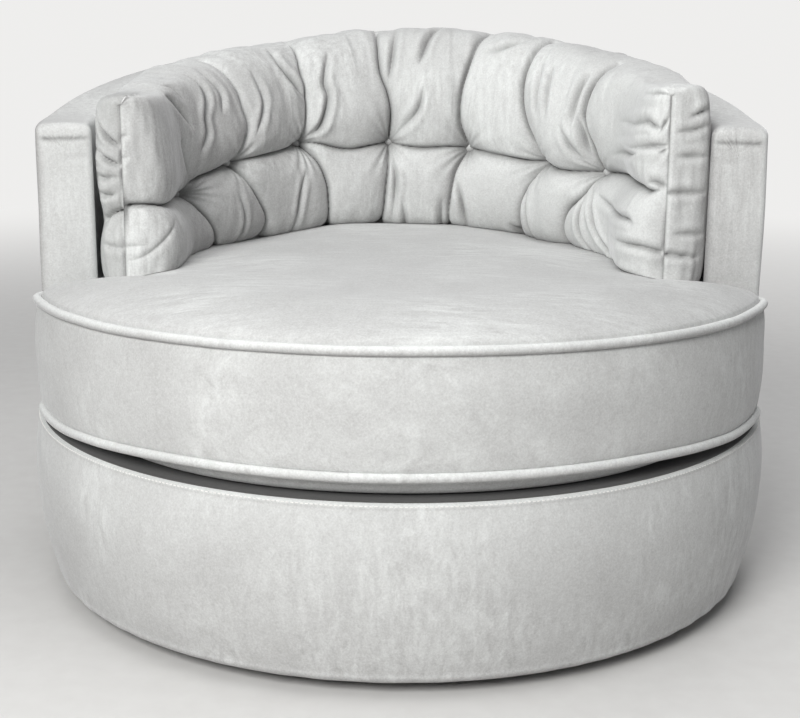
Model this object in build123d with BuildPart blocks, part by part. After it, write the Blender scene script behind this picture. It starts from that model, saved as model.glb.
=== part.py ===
"""Round upholstered swivel chair: a drum on a ball bearing, a curved arm and back wall,
a loose seat cushion and a loose tufted bolster. Millimetres, +Z up, the front faces -Y,
and the origin lies on the floor under the swivel axis."""

import os
from math import ceil, cos, hypot, radians, sin, sqrt

from build123d import *

os.makedirs("parts", exist_ok=True)

# Floor stand
glide_radius = 18.0
glide_height = 8.0
glide_count = 8
glide_edge = 32.0
plinth_radius = 360.0
plinth_thickness = 15.0

# Swivel bearing
plate_side = 300.0
plate_corner = 24.0
plate_thickness = 2.5
plate_hole_pitch = 244.0
race_radius = 110.0
race_width = 16.0
race_floor = 1.5
ball_radius = 4.0
ball_count = 20
ball_clearance = 0.1
cage_thickness = 1.2
cage_width = 18.0
rivet_radius = 12.0
rivet_bore = 8.0
rivet_lip = 5.0
rivet_lip_thickness = 2.0
rivet_room = 7.0
rivet_play = 0.2
race_relief = 0.8
running_clearance = 0.06

# Fasteners
bolt_radius = 4.0
bolt_head_radius = 8.0
bolt_head_height = 4.0
screw_radius = 2.2
screw_head_radius = 4.8
screw_head_height = 2.6
nut_wall = 1.5
nut_flange_radius = 10.0
nut_flange_thickness = 1.5
bolt_tail = 4.0
screw_grip = 12.0
nut_length = 10.5
thread_clearance = 0.02
fastener_clearance = 0.1

# Drum
drum_radius = 535.0
floor_gap = 25.0
drum_height = 227.0
drum_bulge_height = 150.0
drum_bottom_draw = 26.0
drum_top_draw = 9.0
drum_padding_depth = 28.0
drum_bottom_round = 14.0
drum_top_round = 8.0
cover_thickness = 1.6
skin_gap = 0.2
board_thickness = 15.0
ring_thickness = 18.0
ring_width = 104.0
side_panel_thickness = 3.0
front_upright_count = 4
upright_depth = 45.0
upright_width = 22.0
cloth_thickness = 1.0
cloth_margin = 24.0
cloth_opening = 216.0

# Seat deck
strap_width = 50.0
strap_thickness = 1.5
strap_count = 7
strap_pitch = 105.0
deck_margin = 16.0
deck_pad_thickness = 22.0
deck_round = 16.0

# Curved wall
wall_radius = 518.0
wall_thickness = 78.0
wall_end_angle = 73.0
arm_rise = 400.0
back_rise = 512.0
wall_bend_radius = 1040.0
wall_round = 9.0
wall_inner_foam = 20.0
wall_outer_foam = 8.0
wall_end_foam = 10.0
wall_top_foam = 14.0
wall_board = 3.0
wall_rail = 36.0
post_count = 7
post_width = 40.0
post_edge = 9.0

# Seat cushion
seat_radius = 531.0
seat_swell = 7.0
seat_height = 147.0
seat_crown = 40.0
seat_corner = 22.0
seat_shoulder = 40.0
piping_radius = 6.0
piping_clearance = 0.1
seat_side_clearance = 1.5
rest_clearance = 0.3
zip_width = 26.0
zip_half_angle = 32.0

# Tufted bolster
bolster_clearance = 0.6
bolster_end_angle = 108.0
bolster_back_rise = 314.0
bolster_end_rise = 248.0
bolster_back_round = 45.0
bolster_end_round = 16.0
end_draw = 26.0
slice_step = 4.2
bolster_waist = 114.0
tuft_angles = [-72.0, -56.0, -31.0, -4.0, 21.0, 44.0, 66.0]
tuft_reach = 12.0
tuft_height = 0.44
tuft_waist = 68.0
tuft_draw = 15.0
button_radius = 7.0
button_thickness = 5.0
button_sink = 8.0
button_clearance = 0.2
back_button_depth = 3.0
twine_radius = 1.2

# Heights and radii that follow
plinth_top = glide_height + plinth_thickness
race_height = race_floor + ball_clearance + ball_radius
bearing_mid = plinth_top + plate_thickness + race_height
upper_plate_top = bearing_mid + race_height + plate_thickness
upper_plate_bottom = upper_plate_top - plate_thickness
groove_radius = ball_radius + ball_clearance
race_step = cage_thickness / 2 + race_relief
drum_top = floor_gap + drum_height
drum_floor_top = upper_plate_top + board_thickness
ring_top = drum_top - cover_thickness
ring_bottom = ring_top - ring_thickness
panel_radius = drum_radius - cover_thickness - drum_padding_depth
frame_radius = panel_radius - side_panel_thickness
wall_inner = wall_radius - wall_thickness
arm_top = drum_top + arm_rise
back_top = drum_top + back_rise
wall_slope = back_rise - arm_rise
deck_radius = wall_inner - deck_margin
deck_bottom = ring_top + 2 * strap_thickness
deck_top = deck_bottom + deck_pad_thickness + cloth_thickness
seat_bottom = deck_top + rest_clearance
seat_seam = seat_bottom + seat_height
seat_top = seat_seam + seat_crown
seat_front = seat_radius - seat_swell
seat_rear = wall_inner - seat_side_clearance - seat_swell
seat_ear_gap = seat_side_clearance + seat_swell
bolster_back = wall_inner - bolster_clearance
post_start = wall_end_angle + post_edge - 90
post_step = (180 - 2 * post_start) / (post_count - 1)
post_angles = [post_start + n * post_step for n in range(post_count)]
front_step = (180 + 2 * post_start) / (front_upright_count + 1)
front_angles = [180 - post_start + (n + 1) * front_step for n in range(front_upright_count)]
bolster_bottom = seat_top + rest_clearance

# Floor stand: a plywood plinth on screwed glides
glide_ring = plinth_radius - glide_edge

with BuildPart() as plinth:
    with BuildSketch(Plane.XY.offset(glide_height)):
        Circle(plinth_radius)
        Circle(rivet_radius + rivet_lip + rivet_room, mode=Mode.SUBTRACT)
        with PolarLocations(glide_ring, glide_count):
            Circle(screw_radius, mode=Mode.SUBTRACT)
        with GridLocations(plate_hole_pitch, plate_hole_pitch, 2, 2):
            Circle(screw_radius, mode=Mode.SUBTRACT)
    extrude(amount=plinth_thickness)
plinth.part.label = "plinth"
export_step(plinth.part, "parts/plinth.step")

with BuildPart() as glides:
    with BuildSketch():
        with PolarLocations(glide_ring, glide_count):
            Circle(glide_radius)
            Circle(screw_radius + fastener_clearance, mode=Mode.SUBTRACT)
    extrude(amount=glide_height)
    with BuildSketch():
        with PolarLocations(glide_ring, glide_count):
            Circle(screw_head_radius + fastener_clearance)
    extrude(amount=glide_height / 2, mode=Mode.SUBTRACT)
glides.part.label = "glides"
export_step(glides.part, "parts/glides.step")

with BuildPart() as glide_screws:
    with BuildSketch(Plane.XY.offset(glide_height / 2)):
        with PolarLocations(glide_ring, glide_count):
            Circle(screw_head_radius)
    extrude(amount=-screw_head_height)
    with BuildSketch(Plane.XY.offset(glide_height / 2)):
        with PolarLocations(glide_ring, glide_count):
            Circle(screw_radius)
    extrude(amount=glide_height / 2 + screw_grip)
glide_screws.part.label = "glide_screws"
export_step(glide_screws.part, "parts/glide_screws.step")

# Swivel bearing: two pressed plates with ball races, a caged ring of balls and a hollow rivet
with BuildPart() as swivel_lower_plate:
    with BuildSketch(Plane.XY.offset(plinth_top)):
        RectangleRounded(plate_side, plate_side, plate_corner)
        Circle(rivet_radius, mode=Mode.SUBTRACT)
        with GridLocations(plate_hole_pitch, plate_hole_pitch, 2, 2):
            Circle(screw_radius + fastener_clearance, mode=Mode.SUBTRACT)
    extrude(amount=plate_thickness)
    with BuildSketch(Plane.XZ):
        with Locations((race_radius, plinth_top + plate_thickness)):
            Rectangle(race_width, race_height - race_step, align=(Align.CENTER, Align.MIN))
        with Locations((race_radius, bearing_mid)):
            Circle(groove_radius, mode=Mode.SUBTRACT)
    revolve(axis=Axis.Z)
swivel_lower_plate.part.label = "swivel_lower_plate"
export_step(swivel_lower_plate.part, "parts/swivel_lower_plate.step")

with BuildPart() as lower_plate_screws:
    with BuildSketch(Plane.XY.offset(plinth_top + plate_thickness)):
        with GridLocations(plate_hole_pitch, plate_hole_pitch, 2, 2):
            Circle(screw_head_radius)
    extrude(amount=screw_head_height)
    with BuildSketch(Plane.XY.offset(plinth_top + plate_thickness)):
        with GridLocations(plate_hole_pitch, plate_hole_pitch, 2, 2):
            Circle(screw_radius)
    extrude(amount=-(plate_thickness + screw_grip))
lower_plate_screws.part.label = "lower_plate_screws"
export_step(lower_plate_screws.part, "parts/lower_plate_screws.step")

with BuildPart() as swivel_rivet:
    with BuildSketch(Plane.XY.offset(plinth_top - rivet_lip_thickness)):
        Circle(rivet_radius + rivet_lip)
    extrude(amount=rivet_lip_thickness)
    with BuildSketch(Plane.XY.offset(plinth_top)):
        Circle(rivet_radius)
    extrude(amount=upper_plate_top - plinth_top + rivet_play)
    with BuildSketch(Plane.XY.offset(upper_plate_top + rivet_play)):
        Circle(rivet_radius + rivet_lip)
    extrude(amount=rivet_lip_thickness)
    with BuildSketch(Plane.XY.offset(plinth_top - rivet_lip_thickness)):
        Circle(rivet_bore)
    extrude(amount=upper_plate_top, mode=Mode.SUBTRACT)
swivel_rivet.part.label = "swivel_rivet"
export_step(swivel_rivet.part, "parts/swivel_rivet.step")

with BuildPart() as bearing_balls:
    with PolarLocations(race_radius, ball_count):
        with Locations((0, 0, bearing_mid)):
            Sphere(ball_radius)
bearing_balls.part.label = "bearing_balls"
export_step(bearing_balls.part, "parts/bearing_balls.step")

with BuildPart() as ball_cage:
    with BuildSketch(Plane.XY.offset(bearing_mid - cage_thickness / 2)):
        Circle(race_radius + cage_width / 2)
        Circle(race_radius - cage_width / 2, mode=Mode.SUBTRACT)
        with PolarLocations(race_radius, ball_count):
            Circle(ball_radius + running_clearance, mode=Mode.SUBTRACT)
    extrude(amount=cage_thickness)
ball_cage.part.label = "ball_cage"
export_step(ball_cage.part, "parts/ball_cage.step")

with BuildPart() as swivel_upper_plate:
    with BuildSketch(Plane.XY.offset(upper_plate_bottom)):
        RectangleRounded(plate_side, plate_side, plate_corner)
        Circle(rivet_radius + running_clearance, mode=Mode.SUBTRACT)
        with GridLocations(plate_hole_pitch, plate_hole_pitch, 2, 2):
            Circle(bolt_radius + fastener_clearance, mode=Mode.SUBTRACT)
    extrude(amount=plate_thickness)
    with BuildSketch(Plane.XZ):
        with Locations((race_radius, upper_plate_bottom)):
            Rectangle(race_width, race_height - race_step, align=(Align.CENTER, Align.MAX))
        with Locations((race_radius, bearing_mid)):
            Circle(groove_radius, mode=Mode.SUBTRACT)
    revolve(axis=Axis.Z)
swivel_upper_plate.part.label = "swivel_upper_plate"
export_step(swivel_upper_plate.part, "parts/swivel_upper_plate.step")

with BuildPart() as upper_plate_bolts:
    with BuildSketch(Plane.XY.offset(upper_plate_bottom)):
        with GridLocations(plate_hole_pitch, plate_hole_pitch, 2, 2):
            Circle(bolt_head_radius)
    extrude(amount=-bolt_head_height)
    with BuildSketch(Plane.XY.offset(upper_plate_bottom)):
        with GridLocations(plate_hole_pitch, plate_hole_pitch, 2, 2):
            Circle(bolt_radius)
    extrude(amount=plate_thickness + board_thickness + bolt_tail)
upper_plate_bolts.part.label = "upper_plate_bolts"
export_step(upper_plate_bolts.part, "parts/upper_plate_bolts.step")

nut_radius = bolt_radius + fastener_clearance + nut_wall

with BuildPart() as upper_plate_nuts:
    with BuildSketch(Plane.XY.offset(drum_floor_top)):
        with GridLocations(plate_hole_pitch, plate_hole_pitch, 2, 2):
            Circle(nut_flange_radius)
    extrude(amount=nut_flange_thickness)
    with BuildSketch(Plane.XY.offset(drum_floor_top)):
        with GridLocations(plate_hole_pitch, plate_hole_pitch, 2, 2):
            Circle(nut_radius)
    extrude(amount=-nut_length)
    with BuildSketch(Plane.XY.offset(drum_floor_top + nut_flange_thickness)):
        with GridLocations(plate_hole_pitch, plate_hole_pitch, 2, 2):
            Circle(bolt_radius + thread_clearance)
    extrude(amount=-2 * board_thickness, mode=Mode.SUBTRACT)
upper_plate_nuts.part.label = "upper_plate_nuts"
export_step(upper_plate_nuts.part, "parts/upper_plate_nuts.step")

# Drum frame: floor board, uprights, top ring and a bent side panel
with BuildPart() as drum_floor:
    with BuildSketch(Plane.XY.offset(upper_plate_top)):
        Circle(frame_radius)
        Circle(rivet_radius + rivet_lip + rivet_room, mode=Mode.SUBTRACT)
        with GridLocations(plate_hole_pitch, plate_hole_pitch, 2, 2):
            Circle(nut_radius, mode=Mode.SUBTRACT)
    extrude(amount=board_thickness)
drum_floor.part.label = "drum_floor"
export_step(drum_floor.part, "parts/drum_floor.step")

with BuildPart() as drum_uprights:
    with BuildSketch(Plane.XY.offset(drum_floor_top)):
        for a in post_angles + front_angles:
            with PolarLocations(frame_radius - upright_depth / 2, 1, a):
                Rectangle(upright_depth, upright_width)
        Circle(frame_radius, mode=Mode.INTERSECT)
    extrude(amount=ring_bottom - drum_floor_top)
drum_uprights.part.label = "drum_uprights"
export_step(drum_uprights.part, "parts/drum_uprights.step")

rail_inner = wall_inner + cover_thickness + wall_inner_foam + wall_board
rail_outer = wall_radius - cover_thickness - wall_outer_foam - wall_board
bolt_ring = (rail_inner + min(rail_outer, frame_radius)) / 2
bolt_angles = [a + post_step / 2 for a in post_angles[:-1]]
bolt_spots = [
    (bolt_ring * cos(radians(a)), bolt_ring * sin(radians(a))) for a in bolt_angles
]

with BuildPart() as drum_top_ring:
    with BuildSketch(Plane.XY.offset(ring_bottom)):
        Circle(frame_radius)
        Circle(frame_radius - ring_width, mode=Mode.SUBTRACT)
        with Locations(*bolt_spots):
            Circle(bolt_radius + fastener_clearance, mode=Mode.SUBTRACT)
    extrude(amount=ring_thickness)
drum_top_ring.part.label = "drum_top_ring"
export_step(drum_top_ring.part, "parts/drum_top_ring.step")

with BuildPart() as drum_side_panel:
    with BuildSketch(Plane.XY.offset(upper_plate_top)):
        Circle(panel_radius)
        Circle(frame_radius, mode=Mode.SUBTRACT)
    extrude(amount=ring_top - upper_plate_top)
drum_side_panel.part.label = "drum_side_panel"
export_step(drum_side_panel.part, "parts/drum_side_panel.step")


# Drum upholstery: the side swells to its widest a little above the middle and tucks in below
def drum_form(skin):
    """The upholstered drum as a full body, drawn in by the thickness of its skin."""
    low = floor_gap + skin
    high = drum_top - skin
    wide = drum_radius - skin
    with BuildPart() as form:
        with BuildSketch(Plane.XZ):
            with BuildLine():
                Line((0, high), (0, low))
                Line((0, low), (wide - drum_bottom_draw, low))
                bulge = (wide, floor_gap + drum_bulge_height)
                TangentArc(bulge, (wide - drum_bottom_draw, low), tangent=(0, -1))
                TangentArc(bulge, (wide - drum_top_draw, high), tangent=(0, 1))
                Line((wide - drum_top_draw, high), (0, high))
            make_face()
            edge = vertices().filter_by(lambda v: v.X > wide / 2)
            fillet(edge.group_by(Axis.Y)[0], drum_bottom_round - skin)
            edge = vertices().filter_by(lambda v: v.X > wide / 2)
            fillet(edge.group_by(Axis.Y)[-1], drum_top_round - skin)
        revolve(axis=Axis.Z)
    return form.part


turn_radius = frame_radius - cloth_margin

with BuildPart() as drum_padding:
    add(drum_form(cover_thickness + skin_gap))
    with BuildSketch(Plane.XY.offset(upper_plate_top)):
        Circle(panel_radius)
    extrude(amount=drum_height, mode=Mode.SUBTRACT)
    with BuildSketch():
        Circle(turn_radius)
    extrude(amount=upper_plate_top, mode=Mode.SUBTRACT)
drum_padding.part.label = "drum_padding"
export_step(drum_padding.part, "parts/drum_padding.step")

with BuildPart() as drum_cover:
    add(drum_form(0))
    add(drum_form(cover_thickness), mode=Mode.SUBTRACT)
    with BuildSketch():
        Circle(turn_radius)
    extrude(amount=upper_plate_top, mode=Mode.SUBTRACT)
    with BuildSketch(Plane.XY.offset(drum_top)):
        Circle(deck_radius)
    extrude(amount=-drum_height / 2, mode=Mode.SUBTRACT)
    with BuildSketch(Plane.XY.offset(drum_top)):
        with Locations(*bolt_spots):
            Circle(bolt_radius + fastener_clearance)
    extrude(amount=-drum_height / 2, mode=Mode.SUBTRACT)
drum_cover.part.label = "drum_cover"
export_step(drum_cover.part, "parts/drum_cover.step")

with BuildPart() as dust_cloth:
    with BuildSketch(Plane.XY.offset(upper_plate_top)):
        Circle(turn_radius)
        Circle(cloth_opening, mode=Mode.SUBTRACT)
    extrude(amount=-cloth_thickness)
dust_cloth.part.label = "dust_cloth"
export_step(dust_cloth.part, "parts/dust_cloth.step")

# Seat deck: crossed webbing on the top ring, a foam pad and its cloth
with BuildPart() as webbing_across:
    with BuildSketch(Plane.XY.offset(ring_top)):
        with GridLocations(0, strap_pitch, 1, strap_count):
            Rectangle(2 * deck_radius, strap_width)
        Circle(deck_radius, mode=Mode.INTERSECT)
    extrude(amount=strap_thickness)
webbing_across.part.label = "webbing_across"
export_step(webbing_across.part, "parts/webbing_across.step")

with BuildPart() as webbing_lengthwise:
    with BuildSketch(Plane.XY.offset(ring_top + strap_thickness)):
        with GridLocations(strap_pitch, 0, strap_count, 1):
            Rectangle(strap_width, 2 * deck_radius)
        Circle(deck_radius, mode=Mode.INTERSECT)
    extrude(amount=strap_thickness)
webbing_lengthwise.part.label = "webbing_lengthwise"
export_step(webbing_lengthwise.part, "parts/webbing_lengthwise.step")


def deck_form(skin):
    """The deck pad with its rounded rim, drawn in by the thickness of its cloth."""
    with BuildPart() as form:
        with BuildSketch(Plane.XY.offset(deck_bottom)):
            Circle(deck_radius - skin)
        extrude(amount=deck_top - skin - deck_bottom)
        fillet(edges().group_by(Axis.Z)[-1], deck_round - skin)
    return form.part


with BuildPart() as deck_pad:
    add(deck_form(cloth_thickness + skin_gap))
deck_pad.part.label = "deck_pad"
export_step(deck_pad.part, "parts/deck_pad.step")

with BuildPart() as deck_cloth:
    add(deck_form(0))
    add(deck_form(cloth_thickness), mode=Mode.SUBTRACT)
deck_cloth.part.label = "deck_cloth"
export_step(deck_cloth.part, "parts/deck_cloth.step")


# Curved wall: it wraps the back and both arms, level over the arms and rising to the back
def wall_form(inner, outer, end, top):
    """The wall's body, drawn in by its own amount inside, outside, at the ends and on top."""
    apex = end / sin(radians(wall_end_angle))
    reach = 2 * wall_radius
    flare = reach * sin(radians(wall_end_angle)) / cos(radians(wall_end_angle))
    with BuildPart() as form:
        with BuildSketch(Plane.XY.offset(drum_top)):
            Circle(wall_radius - outer)
            Circle(wall_inner + inner, mode=Mode.SUBTRACT)
            with BuildLine():
                Polyline((0, apex), (flare, apex - reach), (-flare, apex - reach), close=True)
            make_face(mode=Mode.SUBTRACT)
        extrude(amount=back_rise + wall_slope)
        with BuildSketch(Plane.YZ):
            low = arm_top - top
            far = 2 * wall_radius
            far_top = low + 2 * wall_slope
            sky = 2 * back_top
            with BuildLine():
                FilletPolyline(
                    (-far, low),
                    (0, low),
                    (far, far_top),
                    radius=wall_bend_radius,
                )
                Polyline((far, far_top), (far, sky), (-far, sky), (-far, low))
            make_face()
        extrude(amount=far, both=True, mode=Mode.SUBTRACT)
    return form.part


def wall_skin(skin):
    """The upholstered wall with soft edges, drawn in by the thickness of its skin."""
    with BuildPart() as form:
        add(wall_form(skin, skin, skin, skin))
        upright = edges().filter_by(Axis.Z)
        fillet(upright, wall_round - skin)
        crest = edges().filter_by(lambda e: e.center().Z > arm_top - wall_round)
        fillet(crest, wall_round - skin)
    return form.part


with BuildPart() as wall_cover:
    add(wall_skin(0))
    add(wall_skin(cover_thickness), mode=Mode.SUBTRACT)
wall_cover.part.label = "wall_cover"
export_step(wall_cover.part, "parts/wall_cover.step")

board_inner = cover_thickness + wall_inner_foam
board_outer = cover_thickness + wall_outer_foam
board_end = cover_thickness + wall_end_foam
board_top = cover_thickness + wall_top_foam

with BuildPart() as wall_padding:
    add(wall_skin(cover_thickness + skin_gap))
    add(wall_form(board_inner, board_outer, board_end, board_top), mode=Mode.SUBTRACT)
wall_padding.part.label = "wall_padding"
export_step(wall_padding.part, "parts/wall_padding.step")

with BuildPart() as wall_inner_board:
    add(wall_form(board_inner, board_outer, board_end, board_top))
    add(wall_form(board_inner + wall_board, board_outer, 0, 0), mode=Mode.SUBTRACT)
wall_inner_board.part.label = "wall_inner_board"
export_step(wall_inner_board.part, "parts/wall_inner_board.step")

with BuildPart() as wall_outer_board:
    add(wall_form(board_inner, board_outer, board_end, board_top))
    add(wall_form(board_inner, board_outer + wall_board, 0, 0), mode=Mode.SUBTRACT)
wall_outer_board.part.label = "wall_outer_board"
export_step(wall_outer_board.part, "parts/wall_outer_board.step")

rail_inset = board_inner + wall_board
rail_outset = board_outer + wall_board

with BuildPart() as wall_top_rail:
    add(wall_form(rail_inset, rail_outset, board_end, board_top))
    add(wall_form(rail_inset, rail_outset, 0, board_top + wall_rail), mode=Mode.SUBTRACT)
wall_top_rail.part.label = "wall_top_rail"
export_step(wall_top_rail.part, "parts/wall_top_rail.step")

with BuildPart() as wall_bottom_rail:
    add(wall_form(rail_inset, rail_outset, board_end, board_top))
    with BuildSketch(Plane.XY.offset(drum_top + wall_rail)):
        Circle(drum_radius)
    extrude(amount=2 * back_rise, mode=Mode.SUBTRACT)
    with BuildSketch(Plane.XY.offset(drum_top)):
        with Locations(*bolt_spots):
            Circle(nut_radius)
    extrude(amount=wall_rail, mode=Mode.SUBTRACT)
wall_bottom_rail.part.label = "wall_bottom_rail"
export_step(wall_bottom_rail.part, "parts/wall_bottom_rail.step")

with BuildPart() as wall_posts:
    with BuildSketch(Plane.XY.offset(drum_top + wall_rail)):
        for a in post_angles:
            with PolarLocations((rail_inner + rail_outer) / 2, 1, a):
                Rectangle(2 * wall_thickness, post_width)
        Circle(rail_outer, mode=Mode.INTERSECT)
        Circle(rail_inner, mode=Mode.SUBTRACT)
    extrude(amount=back_rise)
    add(wall_form(rail_inset, rail_outset, 0, board_top + wall_rail), mode=Mode.INTERSECT)
wall_posts.part.label = "wall_posts"
export_step(wall_posts.part, "parts/wall_posts.step")

with BuildPart() as wall_bolts:
    with BuildSketch(Plane.XY.offset(ring_bottom)):
        with Locations(*bolt_spots):
            Circle(bolt_head_radius)
    extrude(amount=-bolt_head_height)
    with BuildSketch(Plane.XY.offset(ring_bottom)):
        with Locations(*bolt_spots):
            Circle(bolt_radius)
    extrude(amount=drum_top - ring_bottom + wall_rail + bolt_tail)
wall_bolts.part.label = "wall_bolts"
export_step(wall_bolts.part, "parts/wall_bolts.step")

with BuildPart() as wall_nuts:
    with BuildSketch(Plane.XY.offset(drum_top + wall_rail)):
        with Locations(*bolt_spots):
            Circle(nut_flange_radius)
    extrude(amount=nut_flange_thickness)
    with BuildSketch(Plane.XY.offset(drum_top + wall_rail)):
        with Locations(*bolt_spots):
            Circle(nut_radius)
    extrude(amount=-nut_length)
    with BuildSketch(Plane.XY.offset(drum_top + 2 * wall_rail)):
        with Locations(*bolt_spots):
            Circle(bolt_radius + thread_clearance)
    extrude(amount=-2 * wall_rail, mode=Mode.SUBTRACT)
wall_nuts.part.label = "wall_nuts"
export_step(wall_nuts.part, "parts/wall_nuts.step")


# Seat cushion: a boxed cushion with round front, stepped in behind the arm ends
def seat_plan(front, rear, gap, corner):
    """The cushion's outline, its ears ending a gap ahead of the wall's end planes."""
    end = radians(wall_end_angle)
    reach = sqrt(front**2 - gap**2)
    outer = (reach * sin(end) - gap * cos(end), -reach * cos(end) - gap * sin(end))
    reach = sqrt(rear**2 - gap**2)
    inner = (reach * sin(end) - gap * cos(end), -reach * cos(end) - gap * sin(end))
    with BuildSketch() as plan:
        with BuildLine():
            ThreePointArc((-outer[0], outer[1]), (0, -front), outer)
            Line(outer, inner)
            ThreePointArc(inner, (rear * cos(0.6), rear * sin(0.6)), (0, rear))
            ThreePointArc((0, rear), (-rear * cos(0.6), rear * sin(0.6)), (-inner[0], inner[1]))
            Line((-inner[0], inner[1]), (-outer[0], outer[1]))
        make_face()
        tips = vertices().filter_by(lambda v: abs(hypot(v.X, v.Y) - front) < 0.01)
        fillet(tips, corner)
        roots = vertices().filter_by(lambda v: abs(hypot(v.X, v.Y) - rear) < 0.01 and v.Y < 0)
        fillet(roots, 0.6 * corner)
    return plan.sketch


def seat_form(skin):
    """The cushion with swelling sides and crowned top, drawn in by the thickness of its skin."""
    with BuildPart() as form:
        for level, swell in ((skin, 0), (seat_height / 2, seat_swell), (seat_height, 0)):
            size = swell - skin
            with BuildSketch(Plane.XY.offset(seat_bottom + level)):
                add(seat_plan(seat_front + size, seat_rear + size, seat_ear_gap - size, seat_corner))
        loft()
        rise = seat_crown - skin
        ear = seat_front - seat_rear
        steps = ((0, 0, 0), (0.35, 0.15, 0.3), (0.7, 0.45, 0.65), (0.92, 0.75, 0.88), (1, 1, 1))
        for level, ahead, share in steps:
            behind = share * seat_shoulder
            rear = seat_rear - skin - behind
            front = seat_front - skin - ahead * (behind + 0.88 * ear)
            corner = seat_corner * (front - rear) / ear
            with BuildSketch(Plane.XY.offset(seat_seam + level * rise)):
                add(seat_plan(front, rear, seat_ear_gap + skin + behind, corner))
        loft()
    return form.part


def seat_bead(height, radius):
    """A round bead along the cushion's seam."""
    seam = Plane.XY.offset(height) * seat_plan(seat_front, seat_rear, seat_ear_gap, seat_corner).wire()
    with BuildPart() as bead:
        with BuildSketch(Plane(origin=seam @ 0, z_dir=seam % 0)):
            Circle(radius)
        sweep(path=seam)
    return bead.part


bead_low = seat_bottom + piping_radius
with BuildPart() as seat_piping_top:
    add(seat_bead(seat_seam, piping_radius))
seat_piping_top.part.label = "seat_piping_top"
export_step(seat_piping_top.part, "parts/seat_piping_top.step")

with BuildPart() as seat_piping_bottom:
    add(seat_bead(bead_low, piping_radius))
seat_piping_bottom.part.label = "seat_piping_bottom"
export_step(seat_piping_bottom.part, "parts/seat_piping_bottom.step")

with BuildPart() as bead_grooves:
    add(seat_bead(seat_seam, piping_radius + piping_clearance))
    add(seat_bead(bead_low, piping_radius + piping_clearance))

with BuildPart() as seat_foam:
    add(seat_form(cover_thickness + skin_gap))
    add(bead_grooves.part, mode=Mode.SUBTRACT)
seat_foam.part.label = "seat_foam"
export_step(seat_foam.part, "parts/seat_foam.step")

with BuildPart() as seat_skin:
    add(seat_form(0))
    add(seat_form(cover_thickness), mode=Mode.SUBTRACT)
    add(bead_grooves.part, mode=Mode.SUBTRACT)

panels = seat_skin.solids().sort_by(Axis.Z)

with BuildPart() as seat_bottom_panel:
    add(panels[0])
seat_bottom_panel.part.label = "seat_bottom_panel"
export_step(seat_bottom_panel.part, "parts/seat_bottom_panel.step")

with BuildPart() as seat_top_panel:
    add(panels[-1])
seat_top_panel.part.label = "seat_top_panel"
export_step(seat_top_panel.part, "parts/seat_top_panel.step")

zip_edge = wall_inner * sin(radians(zip_half_angle))
with BuildPart() as zip_window:
    with BuildSketch(Plane.XZ):
        with Locations((0, seat_bottom + seat_height / 2)):
            Rectangle(2 * zip_edge, zip_width)
    extrude(amount=-wall_radius)

with BuildPart() as seat_band:
    add(panels[1])
    add(zip_window.part, mode=Mode.SUBTRACT)
seat_band.part.label = "seat_band"
export_step(seat_band.part, "parts/seat_band.step")

with BuildPart() as seat_zip:
    add(panels[1])
    add(zip_window.part, mode=Mode.INTERSECT)
seat_zip.part.label = "seat_zip"
export_step(seat_zip.part, "parts/seat_zip.step")


# Bolster: a soft C-shaped roll of pillows, pinched at a row of sewn tufts
def bolster_rise(angle):
    """Height of the bolster at an angle from the back, highest at the back."""
    low = cos(radians(bolster_end_angle))
    share = (cos(radians(angle)) - low) / (1 - low)
    return bolster_end_rise + share * (bolster_back_rise - bolster_end_rise)


def bolster_slice(angle, waist, draw, back_draw, skin):
    """One upright slice: a straight back and an upper and a lower lobe that meet at the waist."""
    rise = bolster_rise(angle)
    back = bolster_back - skin - back_draw
    crown = bolster_back - bolster_back_round - back_draw
    top = bolster_bottom + rise - draw - skin
    low = bolster_bottom + 0.7 * draw + skin
    neck = (bolster_back - waist + skin, bolster_bottom + tuft_height * rise)
    curl = back - crown
    with BuildSketch() as outline:
        with BuildLine():
            Line((back, low + curl), (back, top - curl))
            TangentArc((crown, top), (back, top - curl), tangent=(1, 0))
            TangentArc((crown, top), neck, tangent=(-1, 0))
            TangentArc((crown, low), neck, tangent=(-1, 0))
            TangentArc((crown, low), (back, low + curl), tangent=(1, 0))
        make_face()
    return outline.sketch


slice_angles = []
edges_of_columns = [-bolster_end_angle] + tuft_angles + [bolster_end_angle]
for start, stop in zip(edges_of_columns, edges_of_columns[1:]):
    slice_count = ceil((stop - start) / slice_step)
    slice_angles += [start + (stop - start) * n / slice_count for n in range(slice_count)]
slice_angles.append(bolster_end_angle)


def bolster_pull(angle):
    """How far a slice is pulled in by the nearest tuft, and by the nearer end, from 0 to 1."""
    near = min(abs(angle - tuft) for tuft in tuft_angles)
    pinch = max(0, 1 - near / tuft_reach) ** 2
    tail = max(0, 1 - (bolster_end_angle - abs(angle)) / bolster_end_round) ** 2
    return pinch, tail


def bolster_form(skin):
    """The bolster lofted through its slices, drawn in by the thickness of its skin."""
    trim = 1 - skin / bolster_back / radians(bolster_end_angle)
    with BuildPart() as form:
        for angle in slice_angles:
            pinch, tail = bolster_pull(angle)
            waist = bolster_waist - pinch * (bolster_waist - tuft_waist) - tail * end_draw
            draw = pinch * tuft_draw + tail * end_draw
            out = (sin(radians(trim * angle)), cos(radians(trim * angle)), 0)
            across = (out[1], -out[0], 0)
            with BuildSketch(Plane(origin=(0, 0, 0), x_dir=out, z_dir=across)):
                add(bolster_slice(angle, waist, draw, tail * end_draw / 3, skin))
        loft(ruled=True)
    return form.part


button_seat = bolster_back - tuft_waist - button_sink


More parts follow.
